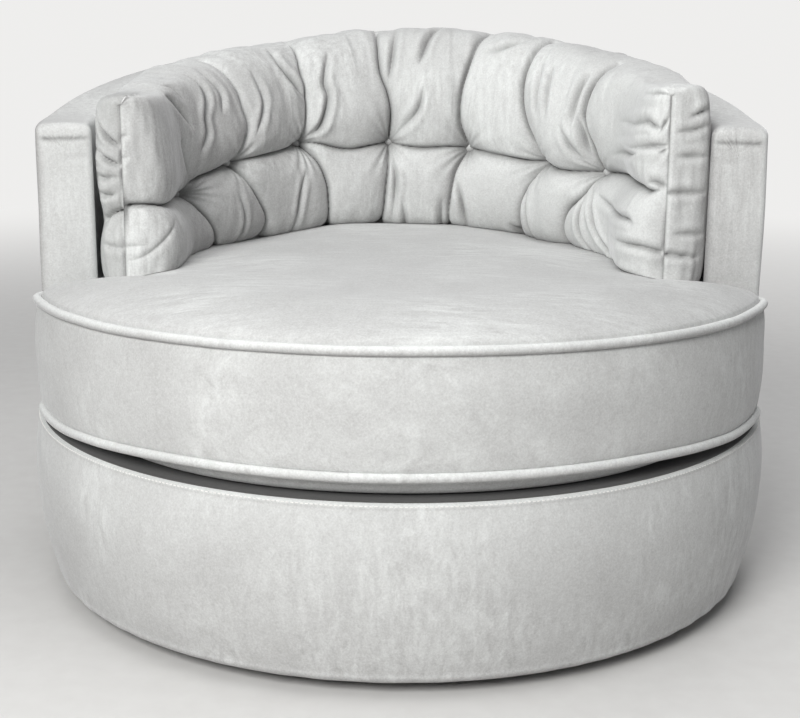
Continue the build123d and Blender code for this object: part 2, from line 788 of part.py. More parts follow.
def tuft_rods(radius, near, far):
    """One round rod per tuft, between two distances from the swivel axis."""
    with BuildPart() as rods:
        for a in tuft_angles:
            out = (sin(radians(a)), cos(radians(a)), 0)
            height = bolster_bottom + tuft_height * bolster_rise(a)
            start = (near * out[0], near * out[1], height)
            with BuildSketch(Plane(origin=start, x_dir=(0, 0, 1), z_dir=out)):
                Circle(radius)
            extrude(amount=far - near)
    return rods.part


with BuildPart() as tuft_buttons:
    add(tuft_rods(button_radius, button_seat - button_thickness, button_seat))
tuft_buttons.part.label = "tuft_buttons"
export_step(tuft_buttons.part, "parts/tuft_buttons.step")

with BuildPart() as tuft_twines:
    add(tuft_rods(twine_radius, button_seat, bolster_back - back_button_depth))
tuft_twines.part.label = "tuft_twines"
export_step(tuft_twines.part, "parts/tuft_twines.step")

with BuildPart() as tuft_back_buttons:
    add(tuft_rods(button_radius, bolster_back - back_button_depth, bolster_back))
tuft_back_buttons.part.label = "tuft_back_buttons"
export_step(tuft_back_buttons.part, "parts/tuft_back_buttons.step")

with BuildPart() as tuft_holes:
    add(tuft_rods(button_radius + button_clearance, button_seat - bolster_waist, button_seat))
    add(tuft_rods(twine_radius, button_seat - button_thickness, bolster_back))
    add(tuft_rods(button_radius + button_clearance, bolster_back - back_button_depth, wall_radius))

with BuildPart() as bolster_fill:
    add(bolster_form(cover_thickness + skin_gap))
    add(tuft_holes.part, mode=Mode.SUBTRACT)
bolster_fill.part.label = "bolster_fill"
export_step(bolster_fill.part, "parts/bolster_fill.step")

with BuildPart() as bolster_cover:
    add(bolster_form(0))
    add(bolster_form(cover_thickness), mode=Mode.SUBTRACT)
    add(tuft_holes.part, mode=Mode.SUBTRACT)
bolster_cover.part.label = "bolster_cover"
export_step(bolster_cover.part, "parts/bolster_cover.step")
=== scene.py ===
import bmesh
import bpy
import numpy as np
from mathutils import Matrix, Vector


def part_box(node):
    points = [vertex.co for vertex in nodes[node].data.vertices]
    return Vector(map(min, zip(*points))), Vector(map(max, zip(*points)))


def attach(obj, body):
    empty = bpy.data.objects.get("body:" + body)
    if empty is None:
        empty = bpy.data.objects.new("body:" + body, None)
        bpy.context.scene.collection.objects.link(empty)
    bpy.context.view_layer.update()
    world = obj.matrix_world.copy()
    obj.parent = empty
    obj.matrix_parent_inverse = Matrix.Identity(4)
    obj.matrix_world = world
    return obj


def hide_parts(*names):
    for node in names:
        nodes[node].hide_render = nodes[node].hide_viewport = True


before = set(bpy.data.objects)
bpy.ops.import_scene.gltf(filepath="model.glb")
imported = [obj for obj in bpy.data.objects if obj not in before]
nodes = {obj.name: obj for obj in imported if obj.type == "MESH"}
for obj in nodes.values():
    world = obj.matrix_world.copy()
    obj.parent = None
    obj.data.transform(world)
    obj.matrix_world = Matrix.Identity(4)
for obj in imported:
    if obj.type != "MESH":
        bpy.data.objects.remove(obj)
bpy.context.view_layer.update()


# Floor stand: a round plywood board on eight plastic glides, each held by a countersunk screw.
# It stays still on the floor while the drum turns above it, and is left as bare workshop stock.
def add_node(tree, kind, inputs=None, **properties):
    """One shader node: its properties are set, and each input is set or, if a socket, linked."""
    made = tree.nodes.new("ShaderNode" + kind)
    for key, value in properties.items():
        setattr(made, key, value)
    for key, value in (inputs or {}).items():
        if isinstance(value, bpy.types.NodeSocket):
            tree.links.new(value, made.inputs[key])
        else:
            made.inputs[key].default_value = value
    return made


def new_group(name, inputs, outputs):
    """An empty shader node group with named sockets, and its input and output nodes."""
    group = bpy.data.node_groups.new(name, "ShaderNodeTree")
    for label, kind in inputs:
        group.interface.new_socket(label, in_out="INPUT", socket_type="NodeSocket" + kind)
    for label, kind in outputs:
        group.interface.new_socket(label, in_out="OUTPUT", socket_type="NodeSocket" + kind)
    return group, group.nodes.new("NodeGroupInput"), group.nodes.new("NodeGroupOutput")


def noise(tree, place, scale, detail, rough, swirl):
    """Cloudy values about one half, at a place, with so many clouds per metre."""
    return add_node(
        tree, "TexNoise",
        {"Vector": place, "Scale": scale, "Detail": detail, "Roughness": rough,
         "Distortion": swirl},
    ).outputs[0]


def blend(tree, share, start, end):
    """One colour turned into another by a share. A Mix node repeats its socket names for every
    kind of value, so its colours are counted: 6 and 7 go in, and 2 comes out."""
    return add_node(tree, "Mix", {0: share, 6: start, 7: end}, data_type="RGBA").outputs[2]


def reckon(tree, operation, *values):
    """The result of one Math node on two or three values or sockets."""
    return add_node(tree, "Math", dict(enumerate(values)), operation=operation).outputs[0]


def grain_group():
    """Streaked stock: noise stretched along the grain blends a deep colour into a pale one,
    and the same streaks set the roughness and the height."""
    group, given, made = new_group(
        "streaked_grain",
        [("Vector", "Vector"), ("Stretch", "Vector"), ("Pale", "Color"), ("Deep", "Color"),
         ("Smooth", "Float"), ("Rough", "Float")],
        [("Colour", "Color"), ("Roughness", "Float"), ("Height", "Float")],
    )
    stretched = add_node(
        group, "VectorMath", {0: given.outputs["Vector"], 1: given.outputs["Stretch"]},
        operation="MULTIPLY",
    ).outputs[0]
    streaks = noise(group, stretched, scale=1.0, detail=5.0, rough=0.6, swirl=0.4)
    tone = add_node(
        group, "MapRange", {"Value": streaks, "From Min": 0.3, "From Max": 0.7}
    ).outputs[0]
    roughness = add_node(
        group, "MapRange",
        {"Value": tone, "To Min": given.outputs["Rough"], "To Max": given.outputs["Smooth"]},
    ).outputs[0]
    colour = blend(group, tone, given.outputs["Deep"], given.outputs["Pale"])
    group.links.new(colour, made.inputs["Colour"])
    group.links.new(roughness, made.inputs["Roughness"])
    group.links.new(tone, made.inputs["Height"])
    return group


streaked_grain = grain_group()


def new_material(name):
    """A material with one Principled shader, its node tree and its Object coordinates."""
    material = bpy.data.materials.new(name)
    material.use_nodes = True
    tree = material.node_tree
    place = add_node(tree, "TexCoord").outputs["Object"]
    return material, tree, tree.nodes["Principled BSDF"], place


def surface_links(tree, shader, finish, strength, depth):
    """Joins a finish group to the shader: colour, roughness, and its height through a bump."""
    bump = add_node(
        tree, "Bump", {"Strength": strength, "Distance": depth, "Height": finish.outputs["Height"]}
    )
    tree.links.new(finish.outputs["Colour"], shader.inputs["Base Color"])
    tree.links.new(finish.outputs["Roughness"], shader.inputs["Roughness"])
    tree.links.new(bump.outputs["Normal"], shader.inputs["Normal"])


def grained(name, pale, deep, stretch, smooth, rough, metallic=0.0):
    """Wood, metal, plastic or plain cloth in the streaked grain, in streaks per metre."""
    material, tree, shader, place = new_material(name)
    shader.inputs["Metallic"].default_value = metallic
    finish = add_node(
        tree, "Group",
        {"Vector": place, "Stretch": stretch, "Pale": (*pale, 1), "Deep": (*deep, 1),
         "Smooth": smooth, "Rough": rough},
        node_tree=streaked_grain,
    )
    surface_links(tree, shader, finish, strength=0.3, depth=0.0003)
    return material


def dress(material, *names):
    """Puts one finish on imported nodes, in place of the plain one that they came with."""
    for name in names:
        nodes[name].data.materials.clear()
        nodes[name].data.materials.append(material)


plywood = grained(
    "plywood", pale=(0.56, 0.41, 0.25), deep=(0.38, 0.25, 0.13), stretch=(9, 120, 160),
    smooth=0.5, rough=0.75,
)
glide_plastic = grained(
    "glide_plastic", pale=(0.035, 0.035, 0.036), deep=(0.015, 0.015, 0.016),
    stretch=(300, 300, 300), smooth=0.38, rough=0.6,
)
zinc_steel = grained(
    "zinc_steel", pale=(0.66, 0.66, 0.65), deep=(0.42, 0.42, 0.43), stretch=(40, 700, 700),
    smooth=0.22, rough=0.42, metallic=1.0,
)
dress(plywood, "plinth")
dress(glide_plastic, "glides")
dress(zinc_steel, "glide_screws")

# Swivel bearing: two pressed steel plates turn on a caged ring of balls about a hollow rivet.
# The lower plate is screwed to the floor stand and the upper one is bolted to the drum floor.
dress(
    zinc_steel,
    "swivel_lower_plate", "lower_plate_screws", "swivel_rivet", "bearing_balls", "ball_cage",
    "swivel_upper_plate", "upper_plate_bolts", "upper_plate_nuts",
)

# Drum frame: a plywood floor and top ring on short uprights, closed by a bent hardboard skin.
# A black spun cloth is tacked under it to keep the dust out.
hardboard = grained(
    "hardboard", pale=(0.33, 0.21, 0.12), deep=(0.21, 0.13, 0.07), stretch=(160, 160, 160),
    smooth=0.4, rough=0.6,
)
dust_weave = grained(
    "dust_weave", pale=(0.05, 0.05, 0.052), deep=(0.02, 0.02, 0.021), stretch=(900, 900, 300),
    smooth=0.8, rough=0.95,
)
dress(plywood, "drum_floor", "drum_uprights", "drum_top_ring")
dress(hardboard, "drum_side_panel")
dress(dust_weave, "dust_cloth")


# Drum cover: one long strip of pale grey velvet over padding, joined by an upright seam at the
# back, tacked under the foot, and sewn at the shoulder, with a row of topstitching, to a top panel.
# Wherever the loose cushion lies over the top panel, it is painted near black as painted shadow.
def velvet_group():
    """Brushed pile: broad blotches, patches of strokes drawn out along one direction, a mottle
    and a fine speckle are added up, together with painted light and shade by facing: faces turned
    towards the light side gain and those turned away lose, which in part stands for the pile's
    lean.
    The sum blends the deep colour into the pale one, and painted shade darkens creases, seams and
    shadowed places towards a near black."""
    group, given, made = new_group(
        "brushed_pile",
        [("Vector", "Vector"), ("Normal", "Vector"), ("Strokes", "Vector"), ("Light Side", "Vector"),
         ("Painted Shade", "Float"), ("Pale", "Color"), ("Deep", "Color")],
        [("Colour", "Color"), ("Roughness", "Float"), ("Height", "Float")],
    )
    place = given.outputs["Vector"]
    drawn = add_node(
        group, "VectorMath", {0: place, 1: given.outputs["Strokes"]}, operation="MULTIPLY"
    ).outputs[0]
    patches = noise(group, place, scale=6.0, detail=2.0, rough=0.5, swirl=0.5)
    patches = add_node(
        group, "MapRange", {"Value": patches, "From Min": 0.38, "From Max": 0.60}
    ).outputs[0]
    strokes = noise(group, drawn, scale=1.0, detail=4.0, rough=0.68, swirl=0.5)
    strokes = reckon(group, "MULTIPLY", reckon(group, "SUBTRACT", strokes, 0.5), patches)
    blotches = noise(group, place, scale=6.0, detail=4.0, rough=0.55, swirl=0.4)
    mottle = noise(group, place, scale=130.0, detail=3.0, rough=0.7, swirl=0.3)
    pile = noise(group, place, scale=400.0, detail=3.0, rough=0.7, swirl=0.0)
    # Painted light and shade by facing: the tone starts from how far the normal turns to the light
    # side.
    total = add_node(
        group, "VectorMath", {0: given.outputs["Normal"], 1: given.outputs["Light Side"]},
        operation="DOT_PRODUCT",
    ).outputs["Value"]
    for marks, weight in ((blotches, 0.30), (strokes, 0.48), (mottle, 0.16), (pile, 0.36)):
        total = reckon(group, "MULTIPLY_ADD", marks, weight, total)
    tone = add_node(
        group, "MapRange", {"Value": total, "From Min": 0.10, "From Max": 0.72}
    ).outputs[0]
    roughness = add_node(
        group, "MapRange", {"Value": tone, "To Min": 0.95, "To Max": 0.72}
    ).outputs[0]
    colour = blend(group, tone, given.outputs["Deep"], given.outputs["Pale"])
    # Painted shade: the colour is blended towards a near black as far as the painted shade reaches.
    shade = reckon(group, "MULTIPLY", given.outputs["Painted Shade"], painted_shade_weight)
    colour = blend(group, shade, colour, (*painted_shade_colour, 1))
    group.links.new(colour, made.inputs["Colour"])
    group.links.new(roughness, made.inputs["Roughness"])
    group.links.new(pile, made.inputs["Height"])
    return group


velvet_pale = (0.775, 0.79, 0.78)
velvet_deep = (0.275, 0.265, 0.265)
# Near black of the painted shade, and how far the painted shade darkens the colour.
painted_shade_colour = (0.05, 0.048, 0.047)
painted_shade_weight = 0.92
brushed_pile = velvet_group()


def velvet(name, strokes, light_side=(0, 0, 0)):
    """Velvet whose strokes lie along the axis with the smallest number of strokes per metre, and
    whose faces are painted lighter towards the light side and darker away from it: painted light
    and shade, in part standing for the lean of the pile."""
    material, tree, shader, place = new_material(name)
    turned = add_node(tree, "TexCoord").outputs["Normal"]
    # The painted shade is read from the attribute kept on the mesh.
    painted_shade = add_node(tree, "Attribute", attribute_name="painted_shade").outputs["Fac"]
    shader.inputs["Sheen Weight"].default_value = 0.30
    shader.inputs["Sheen Roughness"].default_value = 0.35
    shader.inputs["Sheen Tint"].default_value = (0.93, 0.93, 0.95, 1)
    shader.inputs["Specular IOR Level"].default_value = 0.2
    finish = add_node(
        tree, "Group",
        {"Vector": place, "Normal": turned, "Strokes": strokes, "Light Side": light_side,
         "Painted Shade": painted_shade, "Pale": (*velvet_pale, 1), "Deep": (*velvet_deep, 1)},
        node_tree=brushed_pile,
    )
    surface_links(tree, shader, finish, strength=0.25, depth=0.0005)
    return material


merge_gap = 1e-6


def grid_faces(rows, columns, around):
    """The four corners of each face of a grid, whose last column is joined to the first if it
    goes around."""
    row, column = np.meshgrid(
        np.arange(rows - 1), np.arange(columns - 1 + around), indexing="ij"
    )
    here, below = row * columns, (row + 1) * columns
    onward = (column + 1) % columns
    corners = [here + column, here + onward, below + onward, below + column]
    return np.stack(corners, -1).reshape(-1, 4)


def grid_piece(name, points, material, around=False, shade=None):
    """A smooth mesh on a grid of points [row, column]; rows that meet in a line or a point are
    merged, and faces point outwards."""
    faces = grid_faces(*points.shape[:2], around)
    return quad_piece(name, points.reshape(-1, 3), faces, material, shade)


def quad_piece(name, points, faces, material, shade=None):
    """A smooth mesh from points and the four corners of each face, merged and turned outwards. A
    painted shade for each point, if given, is kept as the attribute that darkens the velvet in its
    creases, seams and shadowed places."""
    mesh = bpy.data.meshes.new(name)
    mesh.vertices.add(len(points))
    mesh.vertices.foreach_set("co", np.ascontiguousarray(points, np.float32).ravel())
    mesh.loops.add(faces.size)
    mesh.loops.foreach_set("vertex_index", np.ascontiguousarray(faces, np.int32).ravel())
    mesh.polygons.add(len(faces))
    mesh.polygons.foreach_set("loop_start", np.arange(0, faces.size, 4, dtype=np.int32))
    mesh.update(calc_edges=True)
    if shade is not None:
        painted_shade = mesh.attributes.new("painted_shade", "FLOAT", "POINT")
        painted_shade.data.foreach_set("value", np.ascontiguousarray(shade, np.float32).ravel())
    shell = bmesh.new()
    shell.from_mesh(mesh)
    bmesh.ops.remove_doubles(shell, verts=shell.verts, dist=merge_gap)
    bmesh.ops.recalc_face_normals(shell, faces=shell.faces)
    shell.to_mesh(mesh)
    shell.free()
    mesh.polygons.foreach_set("use_smooth", np.ones(len(mesh.polygons), bool))
    mesh.materials.append(material)
    piece = bpy.data.objects.new(name, mesh)
    bpy.context.scene.collection.objects.link(piece)
    return piece


def ease(value):
    """A smooth step: 0 up to 0, 1 from 1 on, and level at both."""
    value = np.clip(value, 0, 1)
    return value * value * (3 - 2 * value)


def soft_noise(across, along, seed):
    """Smooth random heights from -1 to 1: random values on a unit lattice, blended between the
    four corners of each cell by a smooth step."""
    lattice = np.random.default_rng(seed).uniform(-1, 1, (64, 64))
    cells = len(lattice)
    i = np.floor(across).astype(int)
    j = np.floor(along).astype(int)
    s = ease(across - i)
    t = ease(along - j)
    left, right, low, high = i % cells, (i + 1) % cells, j % cells, (j + 1) % cells
    near = lattice[left, low] * (1 - s) + lattice[right, low] * s
    far = lattice[left, high] * (1 - s) + lattice[right, high] * s
    return near * (1 - t) + far * t


def dip(distance, width):
    """A soft groove of depth 1 whose sides fall off as a bell curve."""
    return np.exp(-((distance / width) ** 2))


def quarter(count):
    """Evenly spaced angles over a quarter turn, both ends included."""
    return np.linspace(0, np.pi / 2, count)


def full_turn(count):
    """Evenly spaced angles once round, with the first not repeated at the end."""
    return np.linspace(0, 2 * np.pi, count, endpoint=False)


def turned(radius, angle, height):
    """Points at a radius from the swivel axis, an angle from straight back, and a height."""
    return np.stack(
        np.broadcast_arrays(radius * np.sin(angle), radius * np.cos(angle), height), -1
    )


# Sizes are in metres, and a reach or a width is the length over which its effect fades out.
drum_low, drum_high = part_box("drum_cover")
drum_radius = drum_high.x
foot_sag = 0.008
drum_foot = drum_low.z - foot_sag
drum_top = drum_high.z
drum_bulge = 0.175
foot_draw = 0.026
shoulder_draw = 0.009
foot_round = 0.014
shoulder_round = 0.008
hem_radius = 0.4795
hem_out = np.array([0, 0.001, 0.005])
hem_up = np.array([0.012, 0.004, 0.0006, 0])
panel_inside = 0.4225
close_rows_from = 0.232
seam_drop = 0.0013
seam_depth = 0.0020
seam_width = 0.0007
roll_drop = 0.003
roll_proud = 0.0009
roll_width = 0.004
back_seam_depth = 0.0015
back_seam_width = 0.002
drum_dent = 0.0016
dent_reach = 0.215
hem_gather = 0.0016
hem_gather_count = 58
hem_gather_reach = 0.03


def drum_side(height):
    """Radius of the drum's side: fullest at the bulge, drawn in by a parabola above and below."""
    below = foot_draw * ((drum_bulge - height) / (drum_bulge - drum_foot)) ** 2
    above = shoulder_draw * ((height - drum_bulge) / (drum_top - drum_bulge)) ** 2
    return drum_radius - np.where(height < drum_bulge, below, above)


shoulder_edge = float(drum_side(np.array(drum_top - shoulder_round))) - shoulder_round
# Edges of the painted shadow on the drum's top panel: the shoulder seam in front, past this turn
# from the back, and under the wall behind.
shadow_edge = shoulder_edge + 0.004
shadow_turn = np.radians(107.5)
under_wall = 0.475


def rolled_edge(height):
    """How far the cloth stands out just under the shoulder seam."""
    return roll_proud * dip(height - drum_top + roll_drop, roll_width)


def drum_profile():
    """Radius and height from the tacked hem outwards: a tuck, a quarter-round foot, the bulged
    side, with closer rows in its upper part, a quarter-round shoulder and a flat top panel."""
    turn = quarter(17)
    foot = drum_side(drum_foot + foot_round) - foot_round
    side = np.concatenate([
        np.linspace(drum_foot + foot_round, close_rows_from, 44),
        np.linspace(close_rows_from + 0.001, drum_top - shoulder_round, 22),
    ])
    panel = np.linspace(shoulder_edge - 0.004, panel_inside, 10)
    radius = np.concatenate([
        hem_radius + hem_out,
        [foot - 0.006],
        foot + foot_round * np.sin(turn),
        drum_side(side[1:]),
        shoulder_edge + shoulder_round * np.cos(turn[1:]),
        panel,
    ])
    height = np.concatenate([
        drum_foot + hem_up,
        drum_foot + foot_round * (1 - np.cos(turn)),
        side[1:],
        drum_top - shoulder_round * (1 - np.sin(turn[1:])),
        np.full(len(panel), drum_top),
    ])
    return radius, height


def drum_surface():
    """The profile turned about the swivel axis, with shallow dents, hem gathers that fade out
    upwards, the shoulder seam pressed in above a rolled edge, and the closing seam at the back.
    The shade is painted shadow of the cushion, near black, on the top panel: up to the seam in
    front, and up to the wall behind."""
    turn = np.linspace(-np.pi, np.pi, 560, endpoint=False)
    turn = np.union1d(turn, np.linspace(-0.016, 0.016, 17))
    radius, height = (a[:, None] for a in drum_profile())
    angle = turn[None, :]
    up = height - drum_foot
    side = (radius > drum_side(drum_top) - 0.006) & (up > 0.02)
    # Painted shadow of the cushion: the top panel inside the shoulder seam in front, and inside the
    # wall behind, is painted near black.
    cushion_shadow = np.where(np.abs(angle) > shadow_turn, shadow_edge, under_wall)
    cushion_shadow = (radius < cushion_shadow) & (height > drum_top - seam_drop)
    x, y = radius * np.sin(angle), radius * np.cos(angle)
    dents = soft_noise(5 * x + 4 * height, 5 * y - 9 * height, 3)
    fold = np.sin(hem_gather_count * angle + 3 * np.sin(5 * angle)) * soft_noise(9 * x, 9 * y, 5)
    out = drum_dent * dents * np.sin(np.pi * np.clip(up / dent_reach, 0, 1))
    out += hem_gather * fold * np.exp(-up / hem_gather_reach)
    out += side * rolled_edge(height)
    out -= side * seam_depth * dip(height - drum_top + seam_drop, seam_width)
    out -= back_seam_depth * dip(drum_radius * angle, back_seam_width)
    return turned(radius + out, angle, height), cushion_shadow


# Painted light from above: faces turned up are painted lighter, faces turned down darker.
upright_nap = velvet("velvet_upright_nap", strokes=(85, 85, 26), light_side=(0, 0, 0.2))
drum_points, drum_cushion_shadow = drum_surface()
drum_cover = grid_piece("drum_cover_velvet", drum_points, upright_nap, True, drum_cushion_shadow)
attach(drum_cover, "chair")
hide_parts("drum_cover", "drum_padding")


def stitch_row(name, centres, along, out, length, radius, material):
    """A row of thread bars: a five-sided tube in four rings, thickest in the middle, is laid at
    each centre along the seam. All bars share one pattern of faces, moved on from bar to bar."""
    rings, sides = 4, 5
    reach = np.array([-0.5, -0.3, 0.3, 0.5])[:, None] * length
    swell = np.array([0.05, 1.0, 1.0, 0.05])[:, None] * radius
    spin = full_turn(sides)[None, :]
    beside = np.cross(along, out)
    bar = (
        reach[None, :, :, None] * along[:, None, None, :]
        + (swell * np.cos(spin))[None, :, :, None] * out[:, None, None, :]
        + (swell * np.sin(spin))[None, :, :, None] * beside[:, None, None, :]
        + centres[:, None, None, :]
    )
    face = grid_faces(rings, sides, around=True)
    faces = face[None] + rings * sides * np.arange(len(centres))[:, None, None]
    return quad_piece(name, bar.reshape(-1, 3), faces.reshape(-1, 4), material)


thread = grained(
    "thread", pale=(0.86, 0.85, 0.83), deep=(0.68, 0.67, 0.65), stretch=(900, 900, 900),
    smooth=0.6, rough=0.85,
)
stitch_pitch = 0.0058
stitch_length = 0.0042
thread_radius = 0.0008
stitch_drop = 0.0042
stitch_height = drum_top - stitch_drop
stitch_radius = shoulder_edge + rolled_edge(stitch_height) + np.sqrt(
    shoulder_round**2 - (shoulder_round - stitch_drop) ** 2
)
stitch_count = int(2 * np.pi * stitch_radius / stitch_pitch)
stitch_turn = full_turn(stitch_count)
stitch_out = turned(1, stitch_turn, 0)
stitch_along = turned(1, stitch_turn + np.pi / 2, 0)
stitch_centres = turned(stitch_radius, stitch_turn, stitch_height)
drum_stitches = stitch_row(
    "drum_topstitching", stitch_centres, stitch_along, stitch_out, stitch_length, thread_radius,
    thread,
)
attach(drum_stitches, "chair")

# Seat deck: woven straps are stretched over the drum's opening in both directions, and a thin pad
# in black platform cloth lies on them under the loose cushion.
strap_weave = grained(
    "strap_weave", pale=(0.075, 0.07, 0.065), deep=(0.02, 0.02, 0.02), stretch=(420, 420, 420),
    smooth=0.7, rough=0.9,
)
dress(strap_weave, "webbing_across", "webbing_lengthwise")

deck_low, deck_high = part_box("deck_cloth")
deck_radius = deck_high.x
deck_round = 0.016
deck_dent = 0.0012


def deck_surface():
    """A disc with a quarter-round rim: the middle is flat where the cushion lies, with shallow
    dents between the straps, and the edge turns down to the drum."""
    turn = quarter(10)
    inner = deck_radius - deck_round
    flat = np.linspace(0, inner, 60)[:-1]
    rim = inner + deck_round * np.sin(turn)
    radius = np.concatenate([flat, rim, [deck_radius]])[:, None]
    fall = deck_round * (1 - np.cos(turn))
    drop = np.concatenate([0 * flat, fall, [deck_high.z - deck_low.z]])[:, None]
    angle = full_turn(240)[None, :]
    x, y = radius * np.sin(angle), radius * np.cos(angle)
    dents = deck_dent * (1 + soft_noise(10 * x + 7, 10 * y, 8)) * (drop < 0.75 * deck_round)
    return np.stack(np.broadcast_arrays(x, y, deck_high.z - drop - dents), -1)


platform_cloth = grained(
    "platform_cloth", pale=(0.055, 0.055, 0.058), deep=(0.02, 0.02, 0.021),
    stretch=(1100, 1100, 1100), smooth=0.75, rough=0.95,
)
deck = grid_piece("deck_platform", deck_surface(), platform_cloth, around=True)
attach(deck, "chair")
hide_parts("deck_cloth", "deck_pad")

# Curved wall: arms and back in one bent frame of posts, rails and hardboard, bolted to the drum.
# Its velvet has flat front panels, sewn across just under the top with small gathers.
dress(plywood, "wall_top_rail", "wall_bottom_rail", "wall_posts")
dress(hardboard, "wall_inner_board", "wall_outer_board")
dress(zinc_steel, "wall_bolts", "wall_nuts")

wall_low, wall_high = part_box("wall_cover")
wall_half = 0.037
wall_inset = 0.004
wall_mid = wall_high.x - wall_inset - wall_half
wall_end = np.radians(107)
wall_edge = 0.010
arm_top = 0.652
arm_slope = 0.2162
arm_bend = 0.05
arm_shift = 0.004
wall_pad = 0.002
wall_dent = 0.0012
wall_crown = 0.0028
inner_dent = 0.0004
panel_pad = 0.003
cross_seam = 0.019
cross_depth = 0.0022
cross_width = 0.0028
cross_shade = 0.45
gather_depth = 0.0007
gather_reach = 0.007
gather_rate = 740
gather_sway = 2.2
gather_drift = 190
slack_depth = 0.0011
slack_width = 0.004
slack_place = 0.011
panel_foot = 0.02
wall_dent_reach = 0.05
wall_crown_reach = 0.006


def wall_crest(y):
    """Height of the wall's top: level along the arms, then rising evenly towards the back, with
    a hyperbola for the soft bend between the two."""
    return arm_top + arm_slope * (np.sqrt(y * y + arm_bend**2) + y - arm_shift) / 2


def wall_loop():
    """Once around the wall's section: across from the middle, depth of the corner below the
    crest, and share of the way down, along the inside, the top, the outside and the underside.
    The rows of both sides lie closer together near the top."""
    down = np.linspace(0, 1, 70) ** 1.5
    level = np.full_like(down, wall_edge)
    turn = quarter(8)
    flat = np.linspace(-1, 1, 30)[1:-1] * (wall_half - wall_edge)
    under = np.linspace(1, -1, 8)[1:-1] * wall_half
    across = np.concatenate([
        0 * down - wall_half, -wall_half + wall_edge * (1 - np.cos(turn[1:])), flat,
        wall_half - wall_edge * (1 - np.sin(turn[:-1])), 0 * down + wall_half, under,
    ])
    corner = np.concatenate([
        level, wall_edge * (1 - np.sin(turn[1:])), 0 * flat,
        wall_edge * (1 - np.cos(turn[:-1])), level, 0 * under + wall_edge,
    ])
    share = np.concatenate([
        down[::-1], 0 * turn[1:], 0 * flat, 0 * turn[1:], down, 0 * under + 1
    ])
    return across, corner, share


def wall_surface():
    """The section carried round from one arm to the other. At each end its outline shrinks to
    the section's middle line over a rounded edge, which closes it with a padded front panel. The
    seam across each panel is pressed in and darkened with painted shade."""
    across, corner, share = (a[None, :] for a in wall_loop())
    last = wall_end - wall_edge / wall_mid
    turn = quarter(8)[1:]
    face = np.linspace(wall_edge, wall_half, 16)[1:]
    inset = np.concatenate([wall_edge * (1 - np.cos(turn)), face])
    ahead = np.concatenate([wall_edge * np.sin(turn), 0 * face + wall_edge])
    ahead += panel_pad * np.sin(np.pi / 2 * inset / wall_half)
    sweep = np.linspace(-last, last, 250)
    angle = np.concatenate([0 * inset - last, sweep, 0 * inset + last])[:, None]
    inset = np.concatenate([inset[::-1], 0 * sweep, inset])[:, None]
    ahead = np.concatenate([ahead[::-1], 0 * sweep, ahead])[:, None]
    side = np.sign(angle)
    shrink = 1 - inset / wall_half
    radius = wall_mid + across * shrink
    x = radius * np.sin(angle) + side * ahead * np.cos(angle)
    y = radius * np.cos(angle) - side * ahead * np.sin(angle)
    crest = wall_crest(y)
    full = crest - wall_low.z
    depth = corner + share * (full - wall_edge)
    depth = depth + (1 - shrink) * (np.clip(depth, wall_half, full - panel_foot) - depth)
    panel = np.clip(inset / wall_edge, 0, 1) ** 2
    beside = across / wall_half
    below_seam = depth - cross_seam
    gathers = np.sin(gather_rate * across + gather_sway * np.sin(gather_drift * across))
    gathers = gathers * dip(below_seam, gather_reach)
    sewn = panel * dip(below_seam, cross_width)
    slack = dip(below_seam - slack_place * (1.4 - beside), slack_width)
    push = panel * (gather_depth * gathers - slack_depth * slack) - cross_depth * sewn
    pad = np.sin(np.pi * np.clip(depth / full, 0, 1)) * (1 - panel)
    dents = wall_dent * soft_noise(9 * x + 5 * depth, 9 * y - 7 * depth, 12)
    dents *= np.clip(depth / wall_dent_reach, 0, 1)
    grow = shrink * np.sign(beside) * (wall_pad * pad + dents)
    grow = np.where(across < 0, np.maximum(grow, -inner_dent), grow)
    crown = wall_crown * np.cos(np.pi / 2 * beside) * dip(depth, wall_crown_reach)
    x = x + grow * np.sin(angle) + side * push * np.cos(angle)
    y = y + grow * np.cos(angle) - side * push * np.sin(angle)
    # The second value is painted shade along the sewn seam.
    return np.stack([x, y, crest - depth + crown], -1), cross_shade * sewn


# Painted light and shade: faces turned to +x are painted lighter, faces turned to -x darker.
wall_nap = velvet("velvet_wall_nap", strokes=(120, 120, 13), light_side=(0.2, 0, 0))
wall_points, wall_shade = wall_surface()
wall_cover = grid_piece("wall_cover_velvet", wall_points, wall_nap, True, wall_shade)
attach(wall_cover, "chair")
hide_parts("wall_cover", "wall_padding")


# Seat cushion: a thick loose foam cushion with a crowned top, an upright band and ears in front
# of the arms. Fat piping is sewn into both seams, and the cover closes with a zip at the back.
seat_front = 0.524
seat_rear = 0.4315
ear_turn = np.radians(73)
ear_gap = 0.0085
ear_round = 0.024
seat_heart = np.array([0.0, -0.16])
upper_seam = 0.4205
upper_rise = 0.010
rise_reach = 0.2
lower_seam = 0.2815
lower_droop = 0.013
droop_turn = 62
droop_width = 21
seat_underside = 0.2768
seat_crown = 0.030
crown_reach = 0.14
seat_puff = 0.010
puff_reach = 0.007
seat_hollow = 0.012
hollow_from = 0.20
hollow_fade = 0.09
hollow_beside = 0.10
hollow_front = -0.21
hollow_edge = 0.12
seat_dent = 0.0016
seat_dent_reach = 0.08
seat_swell = 0.007
rear_swell = 0.0022
rear_from = 0.12
rear_fade = 0.15
band_dent = 0.0018
band_dent_pitch = 0.13
panel_lap = 0.003
underside_reach = 0.06
pucker_depth = 0.0011
pucker_reach = 0.011
pucker_pitch = 0.011
pucker_change = 0.09
seam_tuck = 0.005
tuck_reach = 0.0045
lip_sag = 0.024
lip_from = 0.007
lip_fall = 0.014
lip_to = 0.026
lip_rise = 0.05
lip_turn = 80
lip_fade = 20
piping_radius = 0.006
piping_proud = 0.0015
piping_wobble = 0.0006
